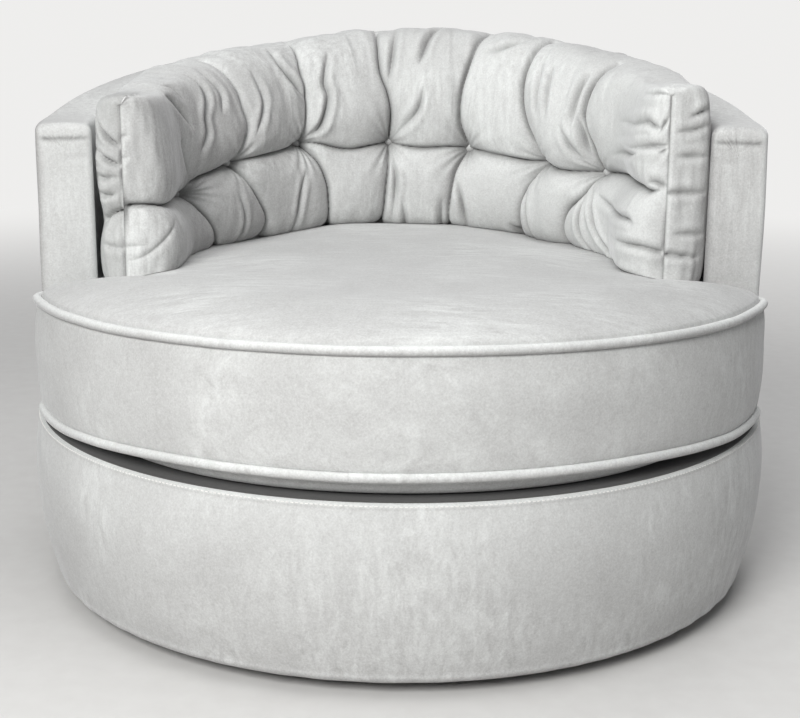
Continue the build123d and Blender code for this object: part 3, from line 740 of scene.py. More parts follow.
wobble_pitch = 0.05


def seat_plan(x, y):
    """Signed distance to the seat's plan, below zero inside: the front disc, cut off along the
    ends of the wall with rounded corners, joined to the smaller disc inside the wall."""
    radius = np.hypot(x, y)
    disc = radius - seat_front
    behind = np.cos(ear_turn) * np.abs(x) + np.sin(ear_turn) * y + ear_gap
    over = np.hypot(np.maximum(disc + ear_round, 0), np.maximum(behind + ear_round, 0))
    front = np.minimum(np.maximum(disc, behind), -ear_round) + over
    return np.minimum(front, radius - seat_rear)


def seat_outline(count):
    """Points evenly spaced round the plan: rays from the seat's heart are halved onto the edge,
    and the edge is then divided by its length."""
    ray = np.linspace(0, 2 * np.pi, 2881)
    aim = np.stack([np.sin(ray), -np.cos(ray)], -1)
    near, far = 0 * ray, 0 * ray + 2 * seat_front
    for _ in range(40):
        middle = (near + far) / 2
        spot = seat_heart + middle[:, None] * aim
        inside = seat_plan(spot[:, 0], spot[:, 1]) < 0
        near, far = np.where(inside, middle, near), np.where(inside, far, middle)
    edge = seat_heart + near[:, None] * aim
    length = np.concatenate([[0], np.cumsum(np.hypot(*np.diff(edge, axis=0).T))])
    even = np.linspace(0, length[-1], count, endpoint=False)
    return np.stack([np.interp(even, length, edge[:, k]) for k in (0, 1)], -1), even


def from_front(x, y):
    """Angle from straight ahead, in degrees, to either side."""
    return np.degrees(np.arctan2(np.abs(x), -y))


def side_droop(x, y):
    """Share by which the cushion's lower edge hangs down: 1 beside the arms, 0 in the front."""
    return dip(from_front(x, y) - droop_turn, droop_width)


def top_seam(x, y):
    """Height of the upper seam: highest in the middle of the front, and falling off backwards."""
    return upper_seam + upper_rise * np.exp(-(y + seat_front) / rise_reach) + 0 * x


def bottom_seam(x, y):
    """Height of the lower seam: it droops at both sides, just in front of the arms."""
    return lower_seam - lower_droop * side_droop(x, y)


def seat_height(x, y):
    """The cushion's top: a quick puff beside the piping, a broad crown towards the middle, and two
    hollows at the sides, where the bolster weighs on it."""
    inward = np.maximum(-seat_plan(x, y), 0)
    hollow = seat_hollow * np.clip((np.hypot(x, y) - hollow_from) / hollow_fade, 0, 1)
    beside = np.clip((np.abs(x) - hollow_beside) / hollow_edge, 0, 1)
    hollow *= beside * np.clip((y - hollow_front) / hollow_edge, 0, 1)
    broad = 1 - (1 - np.clip(inward / crown_reach, 0, 1)) ** 2.2
    dents = seat_dent * soft_noise(11 * x + 3, 11 * y, 21)
    dents = dents * np.clip(inward / seat_dent_reach, 0, 1)
    crown = seat_puff * (1 - np.exp(-inward / puff_reach)) + seat_crown * broad
    return top_seam(x, y) + crown + dents - hollow * broad


seat_count = 760
seat_edge, seat_run = seat_outline(seat_count)
seat_tangent = np.roll(seat_edge, -1, 0) - np.roll(seat_edge, 1, 0)
seat_out = np.stack([seat_tangent[:, 1], -seat_tangent[:, 0]], -1)
seat_out /= np.hypot(*seat_out.T)[:, None]
seat_out *= np.sign(np.sum(seat_out * (seat_edge - seat_heart), 1))[:, None]


def seat_surface():
    """Rings from the middle of the top out to the upper seam, down the band, and in again below:
    each ring is the outline drawn towards the heart, or pushed out by the band's swell. In front,
    where nothing carries it, the lower panel hangs down a little behind the piping."""
    tucked = seat_edge - seam_tuck * seat_out
    reach = 1 - (1 - np.linspace(0, 1, 46)) ** 1.7
    top = seat_heart + reach[:, None, None] * (tucked - seat_heart)
    top_z = seat_height(top[..., 0], top[..., 1])
    top_z[-1] = top_seam(*tucked.T) + panel_lap
    high, low = top_seam(*seat_edge.T), bottom_seam(*seat_edge.T)
    drop = np.linspace(0, 1, 34)[1:-1, None]
    drop = (0.5 - 0.5 * np.cos(np.pi * drop)) * 0.5 + drop * 0.5
    near = np.minimum(drop, 1 - drop) * (high - low)
    run = seat_run[None]
    pucker = soft_noise(run / pucker_pitch, 0 * drop + 2.5, 31)
    pucker *= 0.5 + 0.5 * soft_noise(run / pucker_change, 0 * drop + 4.5, 33)
    full = np.sin(np.pi * drop)
    swell = seat_swell * full**0.6 - seam_tuck * np.exp(-near / tuck_reach)
    swell = swell + pucker_depth * pucker * np.exp(-near / pucker_reach)
    swell = swell + band_dent * full * soft_noise(run / band_dent_pitch, 3 * drop, 35)
    behind = np.clip((seat_edge[:, 1] - rear_from) / rear_fade, 0, 1)
    swell = swell + behind * (np.minimum(swell, rear_swell) - swell)
    band = seat_edge + swell[..., None] * seat_out
    band_z = high + (low - high) * drop
    below = seat_heart + reach[::-1, None, None] * (tucked - seat_heart)
    x, y = below[..., 0], below[..., 1]
    inward = -seat_plan(x, y)
    under = bottom_seam(x, y)
    below_z = under + (seat_underside - under) * ease(inward / underside_reach)
    ahead = ease((lip_turn - from_front(x, y)) / lip_fade)
    lip = ease((inward - lip_from) / lip_fall) * (1 - ease((inward - lip_to) / lip_rise)) * ahead
    below_z = below_z - lip_sag * lip * (1 - side_droop(x, y))
    plan = np.concatenate([top, band, below])
    height = np.concatenate([top_z, np.broadcast_to(band_z, band.shape[:2]), below_z])
    return np.concatenate([plan, height[..., None]], -1)


def piping_surface(height):
    """A round cord in a velvet sleeve along the seat's outline, with a slightly uneven lie. Its
    last ring is its first one again, so that its two ends meet."""
    spin = full_turn(14)[:, None]
    wobble = piping_wobble * soft_noise(seat_run[None] / wobble_pitch, 0 * spin + 1.5, 41)
    out = piping_proud + (piping_radius + 0.3 * wobble) * np.cos(spin)
    plan = seat_edge + out[..., None] * seat_out
    up = height + wobble + piping_radius * np.sin(spin)
    rings = np.concatenate([plan, up[..., None]], -1).swapaxes(0, 1)
    return np.concatenate([rings, rings[:1]])


seat_nap = velvet("velvet_seat_nap", strokes=(18, 95, 30))
seat = grid_piece("seat_cushion_velvet", seat_surface(), seat_nap, around=True)
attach(seat, "seat_cushion")
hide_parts("seat_top_panel", "seat_band", "seat_bottom_panel", "seat_foam")

for name, node, seam in (
    ("seat_piping_upper", "seat_piping_top", top_seam),
    ("seat_piping_lower", "seat_piping_bottom", bottom_seam),
):
    piping = grid_piece(name, piping_surface(seam(*seat_edge.T)), upright_nap, around=True)
    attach(piping, "seat_cushion")
    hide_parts(node)

zip_low, zip_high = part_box("seat_zip")
zip_end_back = 0.36
zip_turn = np.arctan2(zip_high.x, zip_end_back)
zip_height = (zip_low.z + zip_high.z) / 2
zip_proud = 0.0032
zip_out = seat_rear + zip_proud
tape_half = 0.011
tape_fold = 0.0006
tape_curl = 0.0012
tooth_pitch = 0.0026
tooth_length = 0.0056
tooth_radius = 0.0009
tooth_proud = 0.0004
slider_half = 0.010
slider_rise = 0.0042
slider_deep = 0.0014
slider_proud = 0.0012
slider_share = 0.93
pull_length = 0.012


def zip_tape():
    """A flat woven tape bent round the back of the band, its middle folded in behind the teeth."""
    angle = np.linspace(-zip_turn, zip_turn, 120)[:, None]
    upward = np.linspace(-1, 1, 13)[None, :]
    radius = zip_out - tape_fold * dip(upward, 0.15) - tape_curl * upward**6
    return turned(radius, angle, zip_height + tape_half * upward)


def zip_slider():
    """The slider and its pull: a rounded block on the teeth at one end, with a thin tongue."""
    turn = np.linspace(0, np.pi, 9)[:, None]
    spin = full_turn(16)[None, :]
    thick = np.sin(turn)
    blunt = np.sign(np.cos(spin)) * np.abs(np.cos(spin)) ** 0.5
    along = slider_half * thick**0.5 * blunt + pull_length * np.maximum(blunt, 0) * thick**4
    upward = slider_rise * thick**0.5 * np.sign(np.sin(spin)) * np.abs(np.sin(spin)) ** 0.5
    radius = zip_out + slider_proud - slider_deep * np.cos(turn) + 0 * spin
    angle = slider_share * zip_turn - along / radius
    return turned(radius, angle, zip_height + upward)


tape = grid_piece("seat_zip_tape", zip_tape(), platform_cloth)
tooth_turn = np.arange(-zip_turn, zip_turn, tooth_pitch / zip_out)
tooth_out = turned(1, tooth_turn, 0)
tooth_up = np.broadcast_to([0.0, 0.0, 1.0], tooth_out.shape)
tooth_centres = turned(zip_out + tooth_proud, tooth_turn, zip_height)
teeth = stitch_row(
    "seat_zip_teeth", tooth_centres, tooth_up, tooth_out, tooth_length, tooth_radius, glide_plastic
)
slider = grid_piece("seat_zip_slider", zip_slider(), zinc_steel, around=True)
for piece in (tape, teeth, slider):
    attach(piece, "seat_cushion")
    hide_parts("seat_zip")


# Tufted bolster: a loose C-shaped back cushion of fibre in velvet, with a gusset round its edge.
# Seven buttons are tied through it in a row, and the cloth gathers into pillows between them.
bolster_back = 0.4392
bolster_depth = 0.150
bolster_turn = np.radians(91)
bolster_girth = 0.33
heart_depth = 0.060
section_rise = 0.29
round_powers = (2.3, 3.6, 4.5)
boxy_powers = (7.0, 3.0, 8.0)
boxy_span = (52, 90)
fuller_share = 0.18
fuller_span = (30, 55)
slimmer_share = 0.25
slimmer_span = (58, 88)
top_slim = 0.14
end_top_slim = 0.44
front_length = 0.385
front_columns = 241
back_columns = 141
end_gap = 0.0175
end_gap_tilt = 0.0025
gap_span = (62, 88)
gap_depth = 0.14
gusset_depth = 0.0655
gusset_tilt = 0.0085
gusset_low = 0.04
gusset_high = 0.965
end_bulge = 0.128
blunt_front = 0.38
blunt_crest = 0.20
end_run = 0.19
end_seam_width = 0.006
end_seam_proud = 0.0015
end_seam_shade = 0.5
left_strip_shade = 0.3
rest_radius = 0.34
rest_sink = 0.005
end_sink = 0.012
sink_span = (45, 90)
seat_room = 0.0006
tuft_depth = 0.052
crest_turn = [-107, -95, -71, -46, -25, -8, 8, 25, 45, 71, 95, 107]
crest_height = [0.681, 0.681, 0.715, 0.744, 0.766, 0.780, 0.782, 0.776, 0.757, 0.728, 0.701, 0.701]
tufts = np.array([
    (-77, 0.41), (-57, 0.49), (-30, 0.505), (-3.6, 0.475), (19.2, 0.46), (44.3, 0.465),
    (69.5, 0.476),
])
# Creases and folds run through points of angle, share of the way up the front, and depth in mm.
# Those sewn up and down go on from a tuft, those across join two, and the last reach the ends.
up_creases = [
    [(-79.5, 0.475, 19), (-82, 0.545, 9), (-84.5, 0.615, 4)],
    [(-56.6, 0.545, 24), (-54.3, 0.625, 15), (-55.5, 0.70, 11), (-55.5, 0.775, 9), (-56.6, 0.87, 7),
     (-57.5, 1.0, 4)],
    [(-29.7, 0.575, 23), (-29.7, 0.71, 12), (-30.4, 0.80, 9), (-29.7, 1.04, 5)],
    [(-3.3, 0.59, 18), (-4.4, 0.665, 12), (-6.7, 0.775, 10), (-6.7, 1.06, 6)],
    [(17.4, 0.56, 22), (17.8, 0.67, 13), (19.3, 0.77, 10), (20.5, 0.855, 8), (22, 1.06, 5)],
    [(41, 0.575, 20), (38.5, 0.655, 13), (37.5, 0.755, 10), (38.2, 0.85, 8), (39.6, 1.03, 4)],
    [(68.5, 0.56, 26), (66.2, 0.625, 17), (64.4, 0.69, 13), (64.4, 0.785, 10), (65, 0.97, 4)],
]
down_creases = [
    [(-74, 0.31, 14), (-68, 0.19, 8), (-64, 0.06, 4)],
    [(-53, 0.40, 20), (-48, 0.30, 13), (-45.5, 0.22, 10), (-47, 0.05, 5)],
    [(-25.8, 0.425, 20), (-23.2, 0.335, 13), (-22.4, 0.255, 10), (-20.9, 0.04, 6)],
    [(-4, 0.385, 19), (-4.8, 0.28, 12), (-5.9, 0.05, 6)],
    [(17, 0.385, 22), (15.9, 0.32, 13), (14.7, 0.20, 8), (14, 0.06, 4)],
    [(41, 0.365, 20), (38.8, 0.26, 13), (38, 0.14, 9), (38.5, 0.04, 5)],
    [(66, 0.37, 23), (61, 0.30, 17), (58.5, 0.19, 10), (58, 0.06, 5)],
]
across_creases = [
    [(-75.5, 0.455, 27), (-68, 0.475, 26)],
    [(-52, 0.495, 24), (-44, 0.495, 18), (-35, 0.495, 26)],
    [(-25.8, 0.495, 23), (-16.7, 0.457, 17), (-8.2, 0.465, 26)],
    [(-0.6, 0.465, 26), (6.3, 0.455, 17), (15.1, 0.463, 24)],
    [(25.1, 0.457, 23), (33.1, 0.455, 17), (39.2, 0.455, 26)],
    [(51, 0.456, 26), (60, 0.46, 23)],
]
end_creases = [
    [(-150.6, 0.39, 7), (-135.2, 0.42, 9), (-119, 0.435, 11), (-100, 0.43, 14), (-88, 0.42, 22)],
    [(81, 0.488, 23), (98.5, 0.49, 17), (109.5, 0.477, 12), (117, 0.477, 6), (120, 0.48, 3)],
]
# Loose folds, which are only pressed in, taper off at both ends.
pressed_folds = [
    [(-76, 0.55, 6), (-72.4, 0.62, 10), (-72, 0.69, 11), (-69.4, 0.78, 10), (-71, 0.91, 4)],
    [(-65.5, 0.69, 5), (-63.6, 0.765, 8), (-64.8, 0.835, 7), (-65, 0.93, 4)],
    [(-85, 0.905, 3), (-82.5, 0.83, 6), (-80, 0.76, 5)],
    [(-52, 0.58, 6), (-48.4, 0.66, 9), (-47.2, 0.725, 8), (-48.7, 0.84, 4)],
    [(-29.7, 0.67, 6), (-33.1, 0.735, 12), (-36.9, 0.82, 11), (-38.5, 0.94, 6)],
    [(-28.5, 0.52, 8), (-25.5, 0.56, 12), (-23.2, 0.66, 12), (-23.9, 0.73, 10), (-21.6, 0.85, 6)],
    [(-4.4, 0.675, 6), (-2.9, 0.795, 10), (-1.3, 1.0, 8)],
    [(10.5, 1.0, 8), (8, 0.90, 9), (6.3, 0.805, 8), (5.2, 0.755, 3)],
    [(-1.3, 0.51, 6), (5.2, 0.595, 8), (7.1, 0.69, 4)],
    [(62.5, 0.69, 6), (65.8, 0.595, 14), (68.5, 0.51, 6)],
    [(61.8, 0.86, 4), (61.6, 0.80, 8), (61.4, 0.70, 9), (61.8, 0.61, 4)],
    [(57.5, 0.63, 4), (62, 0.555, 9), (68, 0.50, 5)],
    [(48.5, 0.84, 3), (49, 0.79, 6), (50.3, 0.71, 7), (51.5, 0.63, 4)],
    [(44, 0.83, 3), (44.5, 0.78, 5), (45.6, 0.70, 6), (47, 0.63, 3)],
    [(36, 0.95, 4), (30, 0.87, 8), (24.5, 0.83, 4)],
    [(35, 0.20, 4), (37, 0.12, 9), (38.5, 0.05, 5)],
    [(-3.6, 0.43, 6), (-1.7, 0.335, 9), (-2.9, 0.14, 7)],
    [(-0.2, 0.295, 4), (1.3, 0.17, 6), (1.3, 0.06, 4)],
    [(17, 0.355, 6), (19.7, 0.24, 10), (20.1, 0.08, 7)],
    [(13.2, 0.28, 4), (12.4, 0.18, 7), (11.6, 0.06, 5)],
    [(41, 0.37, 5), (43, 0.26, 9), (44, 0.10, 7)],
    [(72, 0.43, 8), (75, 0.33, 11), (81, 0.225, 11), (94, 0.17, 10), (112, 0.16, 5)],
    [(69, 0.40, 8), (68.5, 0.31, 11), (69.5, 0.21, 9), (74, 0.12, 5)],
    [(74, 0.40, 4), (87, 0.369, 9), (101, 0.371, 8), (107.6, 0.355, 4)],
    [(89, 0.285, 4), (104.5, 0.284, 9), (113.5, 0.281, 9), (122, 0.268, 9), (134, 0.257, 9),
     (146, 0.247, 6)],
    [(82, 0.668, 3), (101, 0.709, 8), (110.5, 0.70, 9), (118.4, 0.687, 4)],
    [(116, 0.668, 3), (119.7, 0.705, 7), (123.6, 0.729, 6)],
    [(88, 0.606, 3), (107.6, 0.628, 9), (119.7, 0.632, 7), (123.5, 0.634, 4)],
    [(77, 0.542, 3), (90, 0.581, 8), (101, 0.60, 4)],
    [(116.8, 0.607, 3), (121, 0.615, 7), (123.8, 0.623, 5)],
    [(109.5, 0.504, 4), (116.8, 0.506, 10), (123, 0.496, 9), (136, 0.495, 9), (148, 0.493, 6)],
    [(127, 0.63, 4), (136, 0.63, 8), (148, 0.627, 6)],
    [(126, 0.72, 4), (137, 0.727, 8), (147, 0.742, 6)],
    [(132.4, 0.77, 6), (140.8, 0.79, 9), (148.5, 0.80, 9)],
    [(92, 0.80, 3), (104, 0.81, 4), (115.5, 0.818, 5), (124, 0.82, 3)],
    [(126.8, 0.34, 4), (136.6, 0.34, 8), (148.2, 0.335, 6)],
    [(-152, 0.83, 10), (-142.2, 0.76, 15), (-128.2, 0.70, 11), (-119, 0.69, 4)],
    [(-152, 0.68, 9), (-138, 0.64, 14), (-125.4, 0.615, 8), (-120, 0.61, 4)],
    [(-152, 0.57, 6), (-139.4, 0.56, 12), (-125.4, 0.565, 5)],
    [(-152, 0.50, 7), (-140.8, 0.49, 13), (-126.8, 0.50, 7)],
    [(-149, 0.30, 3), (-136, 0.285, 5), (-124, 0.28, 4), (-114, 0.285, 2)],
    [(-123, 0.22, 2), (-115, 0.25, 3), (-105, 0.32, 3), (-96, 0.38, 2)],
    [(-90, 0.83, 3), (-86, 0.78, 9), (-80, 0.69, 7), (-78, 0.64, 4)],
    [(-62, 0.39, 5), (-59, 0.27, 8), (-59, 0.12, 5)],
    [(-31, 0.41, 5), (-34, 0.30, 9), (-35, 0.12, 6)],
]


def section_table(top, low, back):
    """Depth and height share of the bolster's section against the way round it, from 0 under
    the middle, up the front to 1 at the crest, and down the back to 2: an oval with a power of
    its own for the upper front, the lower front and the back, squarer as it grows."""
    half = 4000
    turn = np.linspace(-np.pi / 2, 3 * np.pi / 2, 2 * half + 1)
    ahead, rise = np.cos(turn), np.sin(turn)
    front = ahead > 0
    power = 2 / np.where(front, np.where(rise > 0, top, low), back)
    deep = np.where(front, bolster_depth - heart_depth, heart_depth)
    depth = heart_depth + np.sign(ahead) * deep * np.abs(ahead) ** power
    share = 0.5 + 0.5 * np.sign(rise) * np.abs(rise) ** power
    step = np.hypot(np.diff(depth), section_rise * np.diff(share))
    run = np.concatenate([[0], np.cumsum(step)])
    crest = run[half]
    way = np.where(turn <= np.pi / 2, run / crest, 1 + (run - crest) / (run[-1] - crest))
    return way, depth, share


def eased(value, start, stop):
    """0 before the start of a span, 1 after its stop, and eased between them."""
    return ease((value - start) / (stop - start))


def bolster_grid():
    """The section carried round the back, boxier and slimmer at the top towards each end, where
    its outline shrinks onto an upright gusset seam while it bulges forward. Also given are the
    place of each point along the bolster and up it, in metres, and how far its end has turned."""
    up, down = np.linspace(0, 1, front_columns), np.linspace(1, 2, back_columns)
    loop = np.concatenate([up, down[1:-1]])[None, :]
    body = np.linspace(-bolster_turn, bolster_turn, 700)
    tip = quarter(45)[1:]
    angle = np.concatenate([0 * tip - bolster_turn, body, 0 * tip + bolster_turn])[:, None]
    swing = np.concatenate([tip[::-1], 0 * body, tip])[:, None]
    side = np.sign(angle)
    turn = np.degrees(angle)
    apart = np.abs(turn)
    boxy = eased(apart, *boxy_span)
    depth, share = 0, 0
    for weight, powers in ((1 - boxy, round_powers), (boxy, boxy_powers)):
        way, deep, high = section_table(*powers)
        depth = depth + weight * np.interp(loop, way, deep)
        share = share + weight * np.interp(loop, way, high)
    fuller = 1 + fuller_share * eased(apart, *fuller_span)
    fuller = fuller - slimmer_share * eased(apart, *slimmer_span)
    fuller = fuller * (1 - (top_slim + end_top_slim * boxy) * share)
    depth = heart_depth + (depth - heart_depth) * np.where(depth > heart_depth, fuller, 1)
    off_wall = (end_gap - end_gap_tilt * side) * eased(apart, *gap_span)
    depth = off_wall + depth * (1 - off_wall / gap_depth)
    shrink = 1 - np.cos(swing)
    depth = depth + shrink * (gusset_depth + gusset_tilt * side - depth)
    share = share + shrink**2 * (np.clip(share, gusset_low, gusset_high) - share)
    blunt = blunt_front - blunt_crest * ease((loop - 0.9) / 0.2) * ease((2 - loop) / 0.1)
    ahead = side * end_bulge * np.sin(swing) ** blunt
    radius = bolster_back - depth
    x = radius * np.sin(angle) + ahead * np.cos(angle)
    y = radius * np.cos(angle) - ahead * np.sin(angle)
    crest = np.interp(turn, crest_turn, crest_height)
    base = seat_height(rest_radius * np.sin(angle), rest_radius * np.cos(angle)) - rest_sink
    base = base - end_sink * eased(apart, *sink_span)
    gusset = (loop > 1) & (swing > 0)
    beyond = end_run * swing / (np.pi / 2)
    beyond = np.where(gusset, 2 * end_run - beyond, beyond)
    run = bolster_girth * angle + side * beyond + 0 * loop
    way = front_length * np.where(gusset, 2 - loop, loop) + 0 * angle
    points = np.stack(np.broadcast_arrays(x, y, base + share * (crest - base)), -1)
    return points, run, way, swing + 0 * loop


def grid_normals(points):
    """Unit normals of a grid that closes along its columns, from the differences both ways; on the
    seams at its two ends they point straight ahead."""
    down = np.gradient(points, axis=0)
    beside = np.roll(points, -1, 1) - np.roll(points, 1, 1)
    normal = np.cross(down, beside)
    normal /= np.maximum(np.linalg.norm(normal, axis=-1, keepdims=True), 1e-12)
    normal[0], normal[-1] = (0, -1, 0), (0, -1, 0)
    return normal


def smooth_line(points):
    """A curve through points of angle, share and depth, in metres: each stretch is a cubic whose
    slope at a point is half the step from the point before it to the one after."""
    line = np.array(points, float) * (np.radians(1) * bolster_girth, front_length, 0.001)
    line = np.concatenate([[2 * line[0] - line[1]], line, [2 * line[-1] - line[-2]]])
    part = np.linspace(0, 1, 7, endpoint=False)[:, None, None]
    before, start, stop, after = line[:-3], line[1:-2], line[2:-1], line[3:]
    curve = start + part / 2 * (stop - before)
    curve = curve + part**2 / 2 * (2 * before - 5 * start + 4 * stop - after)
    curve = curve + part**3 / 2 * (3 * start - before - 3 * stop + after)
    return np.concatenate([curve.swapaxes(0, 1).reshape(-1, 3), line[-2:-1]])


crease_reach = 0.03


def crease_field(points, run, way):
    """Distance of every grid point from one crease, up to its reach, below zero on its right, and
    the crease's depth there. The loop takes the crease's short stretches one by one."""
    line = smooth_line(points)
    gap, depth = np.full(run.shape, 1.0), np.zeros(run.shape)
    for start, stop in zip(line[:-1], line[1:]):
        low = np.minimum(start, stop) - crease_reach
        high = np.maximum(start, stop) + crease_reach
        box = (run > low[0]) & (run < high[0]) & (way > low[1]) & (way < high[1])
        along = stop - start
        right, up = run[box] - start[0], way[box] - start[1]
        part = np.clip((right * along[0] + up * along[1]) / (along[:2] @ along[:2]), 0, 1)
        near = np.hypot(right - part * along[0], up - part * along[1])
        near = np.where(up * along[0] < right * along[1], -near, near)
        closer = np.abs(near) < np.abs(gap[box])
        gap[box] = np.where(closer, near, gap[box])
        depth[box] = np.where(closer, start[2] + part * along[2], depth[box])
    return gap, depth


def stretched_skin(points, pull, depth, fade, rest):
    """Depth of cloth stretched over the filling and sewn down along the creases. Each point is
    drawn towards the mean of its neighbours, to the resting depth over the fade length, and to
    the sewn depth with the pull; repeated with growing overshoot until it settles."""
    least = 0.0004
    ahead = np.zeros((len(points) + 1, points.shape[1]))
    ahead[1:-1] = 1 / np.maximum(np.linalg.norm(np.diff(points, axis=0), axis=-1), least) ** 2
    beside = np.linalg.norm(np.roll(points, -1, 1) - points, axis=-1)
    beside = 1 / np.maximum(beside, least) ** 2
    behind = np.roll(beside, 1, 1)
    total = ahead[1:] + ahead[:-1] + beside + behind + 1 / fade**2 + pull
    load = rest / fade**2 + pull * depth
    radius = 0.9994**2
    old = np.where(pull > 1, depth, rest)
    now, over = old, 2.0
    for _ in range(300):
        padded = np.concatenate([now[:1], now, now[-1:]])
        drawn = ahead[1:] * padded[2:] + ahead[:-1] * padded[:-2]
        drawn = drawn + beside * np.roll(now, -1, 1) + behind * np.roll(now, 1, 1)
        over = 1 / (1 - radius * over / 4)
        old, now = now, over * ((drawn + load) / total - old) + old
    return now


sewn_grip = 4e6
sewn_width = 0.0022
slit_depth = 0.014
slit_width = 0.0021
full_slit = 0.010
lap_rise = 0.003
lap_width = 0.012
lap_edge = 0.0017
skin_fade = 0.020
skin_rest = -0.004


def sewn_lines():
    """The sewn creases: up and down from each tuft, across from tuft to tuft, and from the last
    tuft on each side out to the end."""
    seats = [(*tuft, 1000 * tuft_depth) for tuft in tufts]
    lines = [[seat, *line] for seat, line in zip(seats, up_creases)]
    lines += [[seat, *line] for seat, line in zip(seats, down_creases)]
    lines += [[left, *line, right] for left, line, right in zip(seats, across_creases, seats[1:])]
    return lines + [[*end_creases[0], seats[0]], [seats[-1], *end_creases[1]]]


def sewn_press(points, run, way):
    """Depth along the sewn creases: that of the skin stretched between them, with a slit in each
    and one of its sides lapping over the other. The slits are also given by themselves."""
    pull, held, slit, lap = np.zeros((4, *run.shape))
    for line in sewn_lines():
        gap, depth = crease_field(line, run, way)
        grip = sewn_grip * dip(gap, sewn_width)
        pull += grip
        held += grip * depth
        firm = np.clip(depth / full_slit, 0, 1)
        slit = np.maximum(slit, slit_depth * firm * np.exp(-np.abs(gap) / slit_width))
        side = np.exp(-np.abs(gap) / lap_width) - np.exp(-np.abs(gap) / lap_edge)
        lap += lap_rise * firm * np.sign(gap) * side
    sewn_depth = held / np.maximum(pull, 1e-9)
    return stretched_skin(points, pull, sewn_depth, skin_fade, skin_rest) + slit - lap, slit


fold_width = 0.0045
end_fold_width = 0.0027
end_fold_turn = 83
swell_place = 0.011
swell_width = 0.007
swell_share = 70


def folded_press(run, way):
    """Depth of the loose folds, which are narrower on the bolster's ends, and the swell of the
    cloth beside each, in proportion to its depth and width."""
    fold, swell = np.zeros((2, *run.shape))
    for line in pressed_folds:
        tapered = [(*line[0][:2], 0), *line[1:-1], (*line[-1][:2], 0)]
        gap, depth = crease_field(tapered, run, way)
        width = fold_width if abs(line[1][0]) < end_fold_turn else end_fold_width
        fold = np.maximum(fold, depth * np.exp(-np.abs(gap) / width))
        beside = dip(np.abs(gap) - swell_place, swell_width)
        swell = np.maximum(swell, swell_share * width * depth * beside)
    return fold, swell


crest_pucker = 0.0022
crest_pitch = 0.016
crest_share = 1.03
crest_width = 0.10
broad_dent = 0.0022
broad_pitch = (0.055, 0.075)
fine_dent = 0.0009
fine_pitch = (0.020, 0.035)
drape_depth = 0.0022
drape_pitch = 0.015
drape_lean = 0.05
drape_length = 0.11
drape_turn = np.radians(86)
drape_fade = 0.25


def slack_press(run, way):
    """Depth of what is left to chance: puckers along the crest, broad and fine dents, and upright
    drapes in the upper half of the back."""
    up = way / front_length
    press = crest_pucker * soft_noise(run / crest_pitch, 0 * way + 3.5, 57)
    press *= dip(up - crest_share, crest_width)
    for dent, (across, along), seed in ((broad_dent, broad_pitch, 53), (fine_dent, fine_pitch, 54)):
        press += dent * soft_noise(run / across, way / along, seed)
    leaning = run / drape_pitch + 0.5 * way / drape_lean
    drape = np.maximum(0, soft_noise(leaning, way / drape_length, 59))
    body = ease((drape_turn - np.abs(run) / bolster_girth) / drape_fade)
    return press + drape_depth * drape * body * ease((up - 0.5) / 0.2)


star_rays = 13
star_depth = 0.0042
star_reach = 0.026
star_eye = 0.008
full_fold = 0.020
pit_depth = 0.006
pit_reach = 0.007
dimple_depth = 0.008
dimple_width = 0.014
dimple_from = 0.41


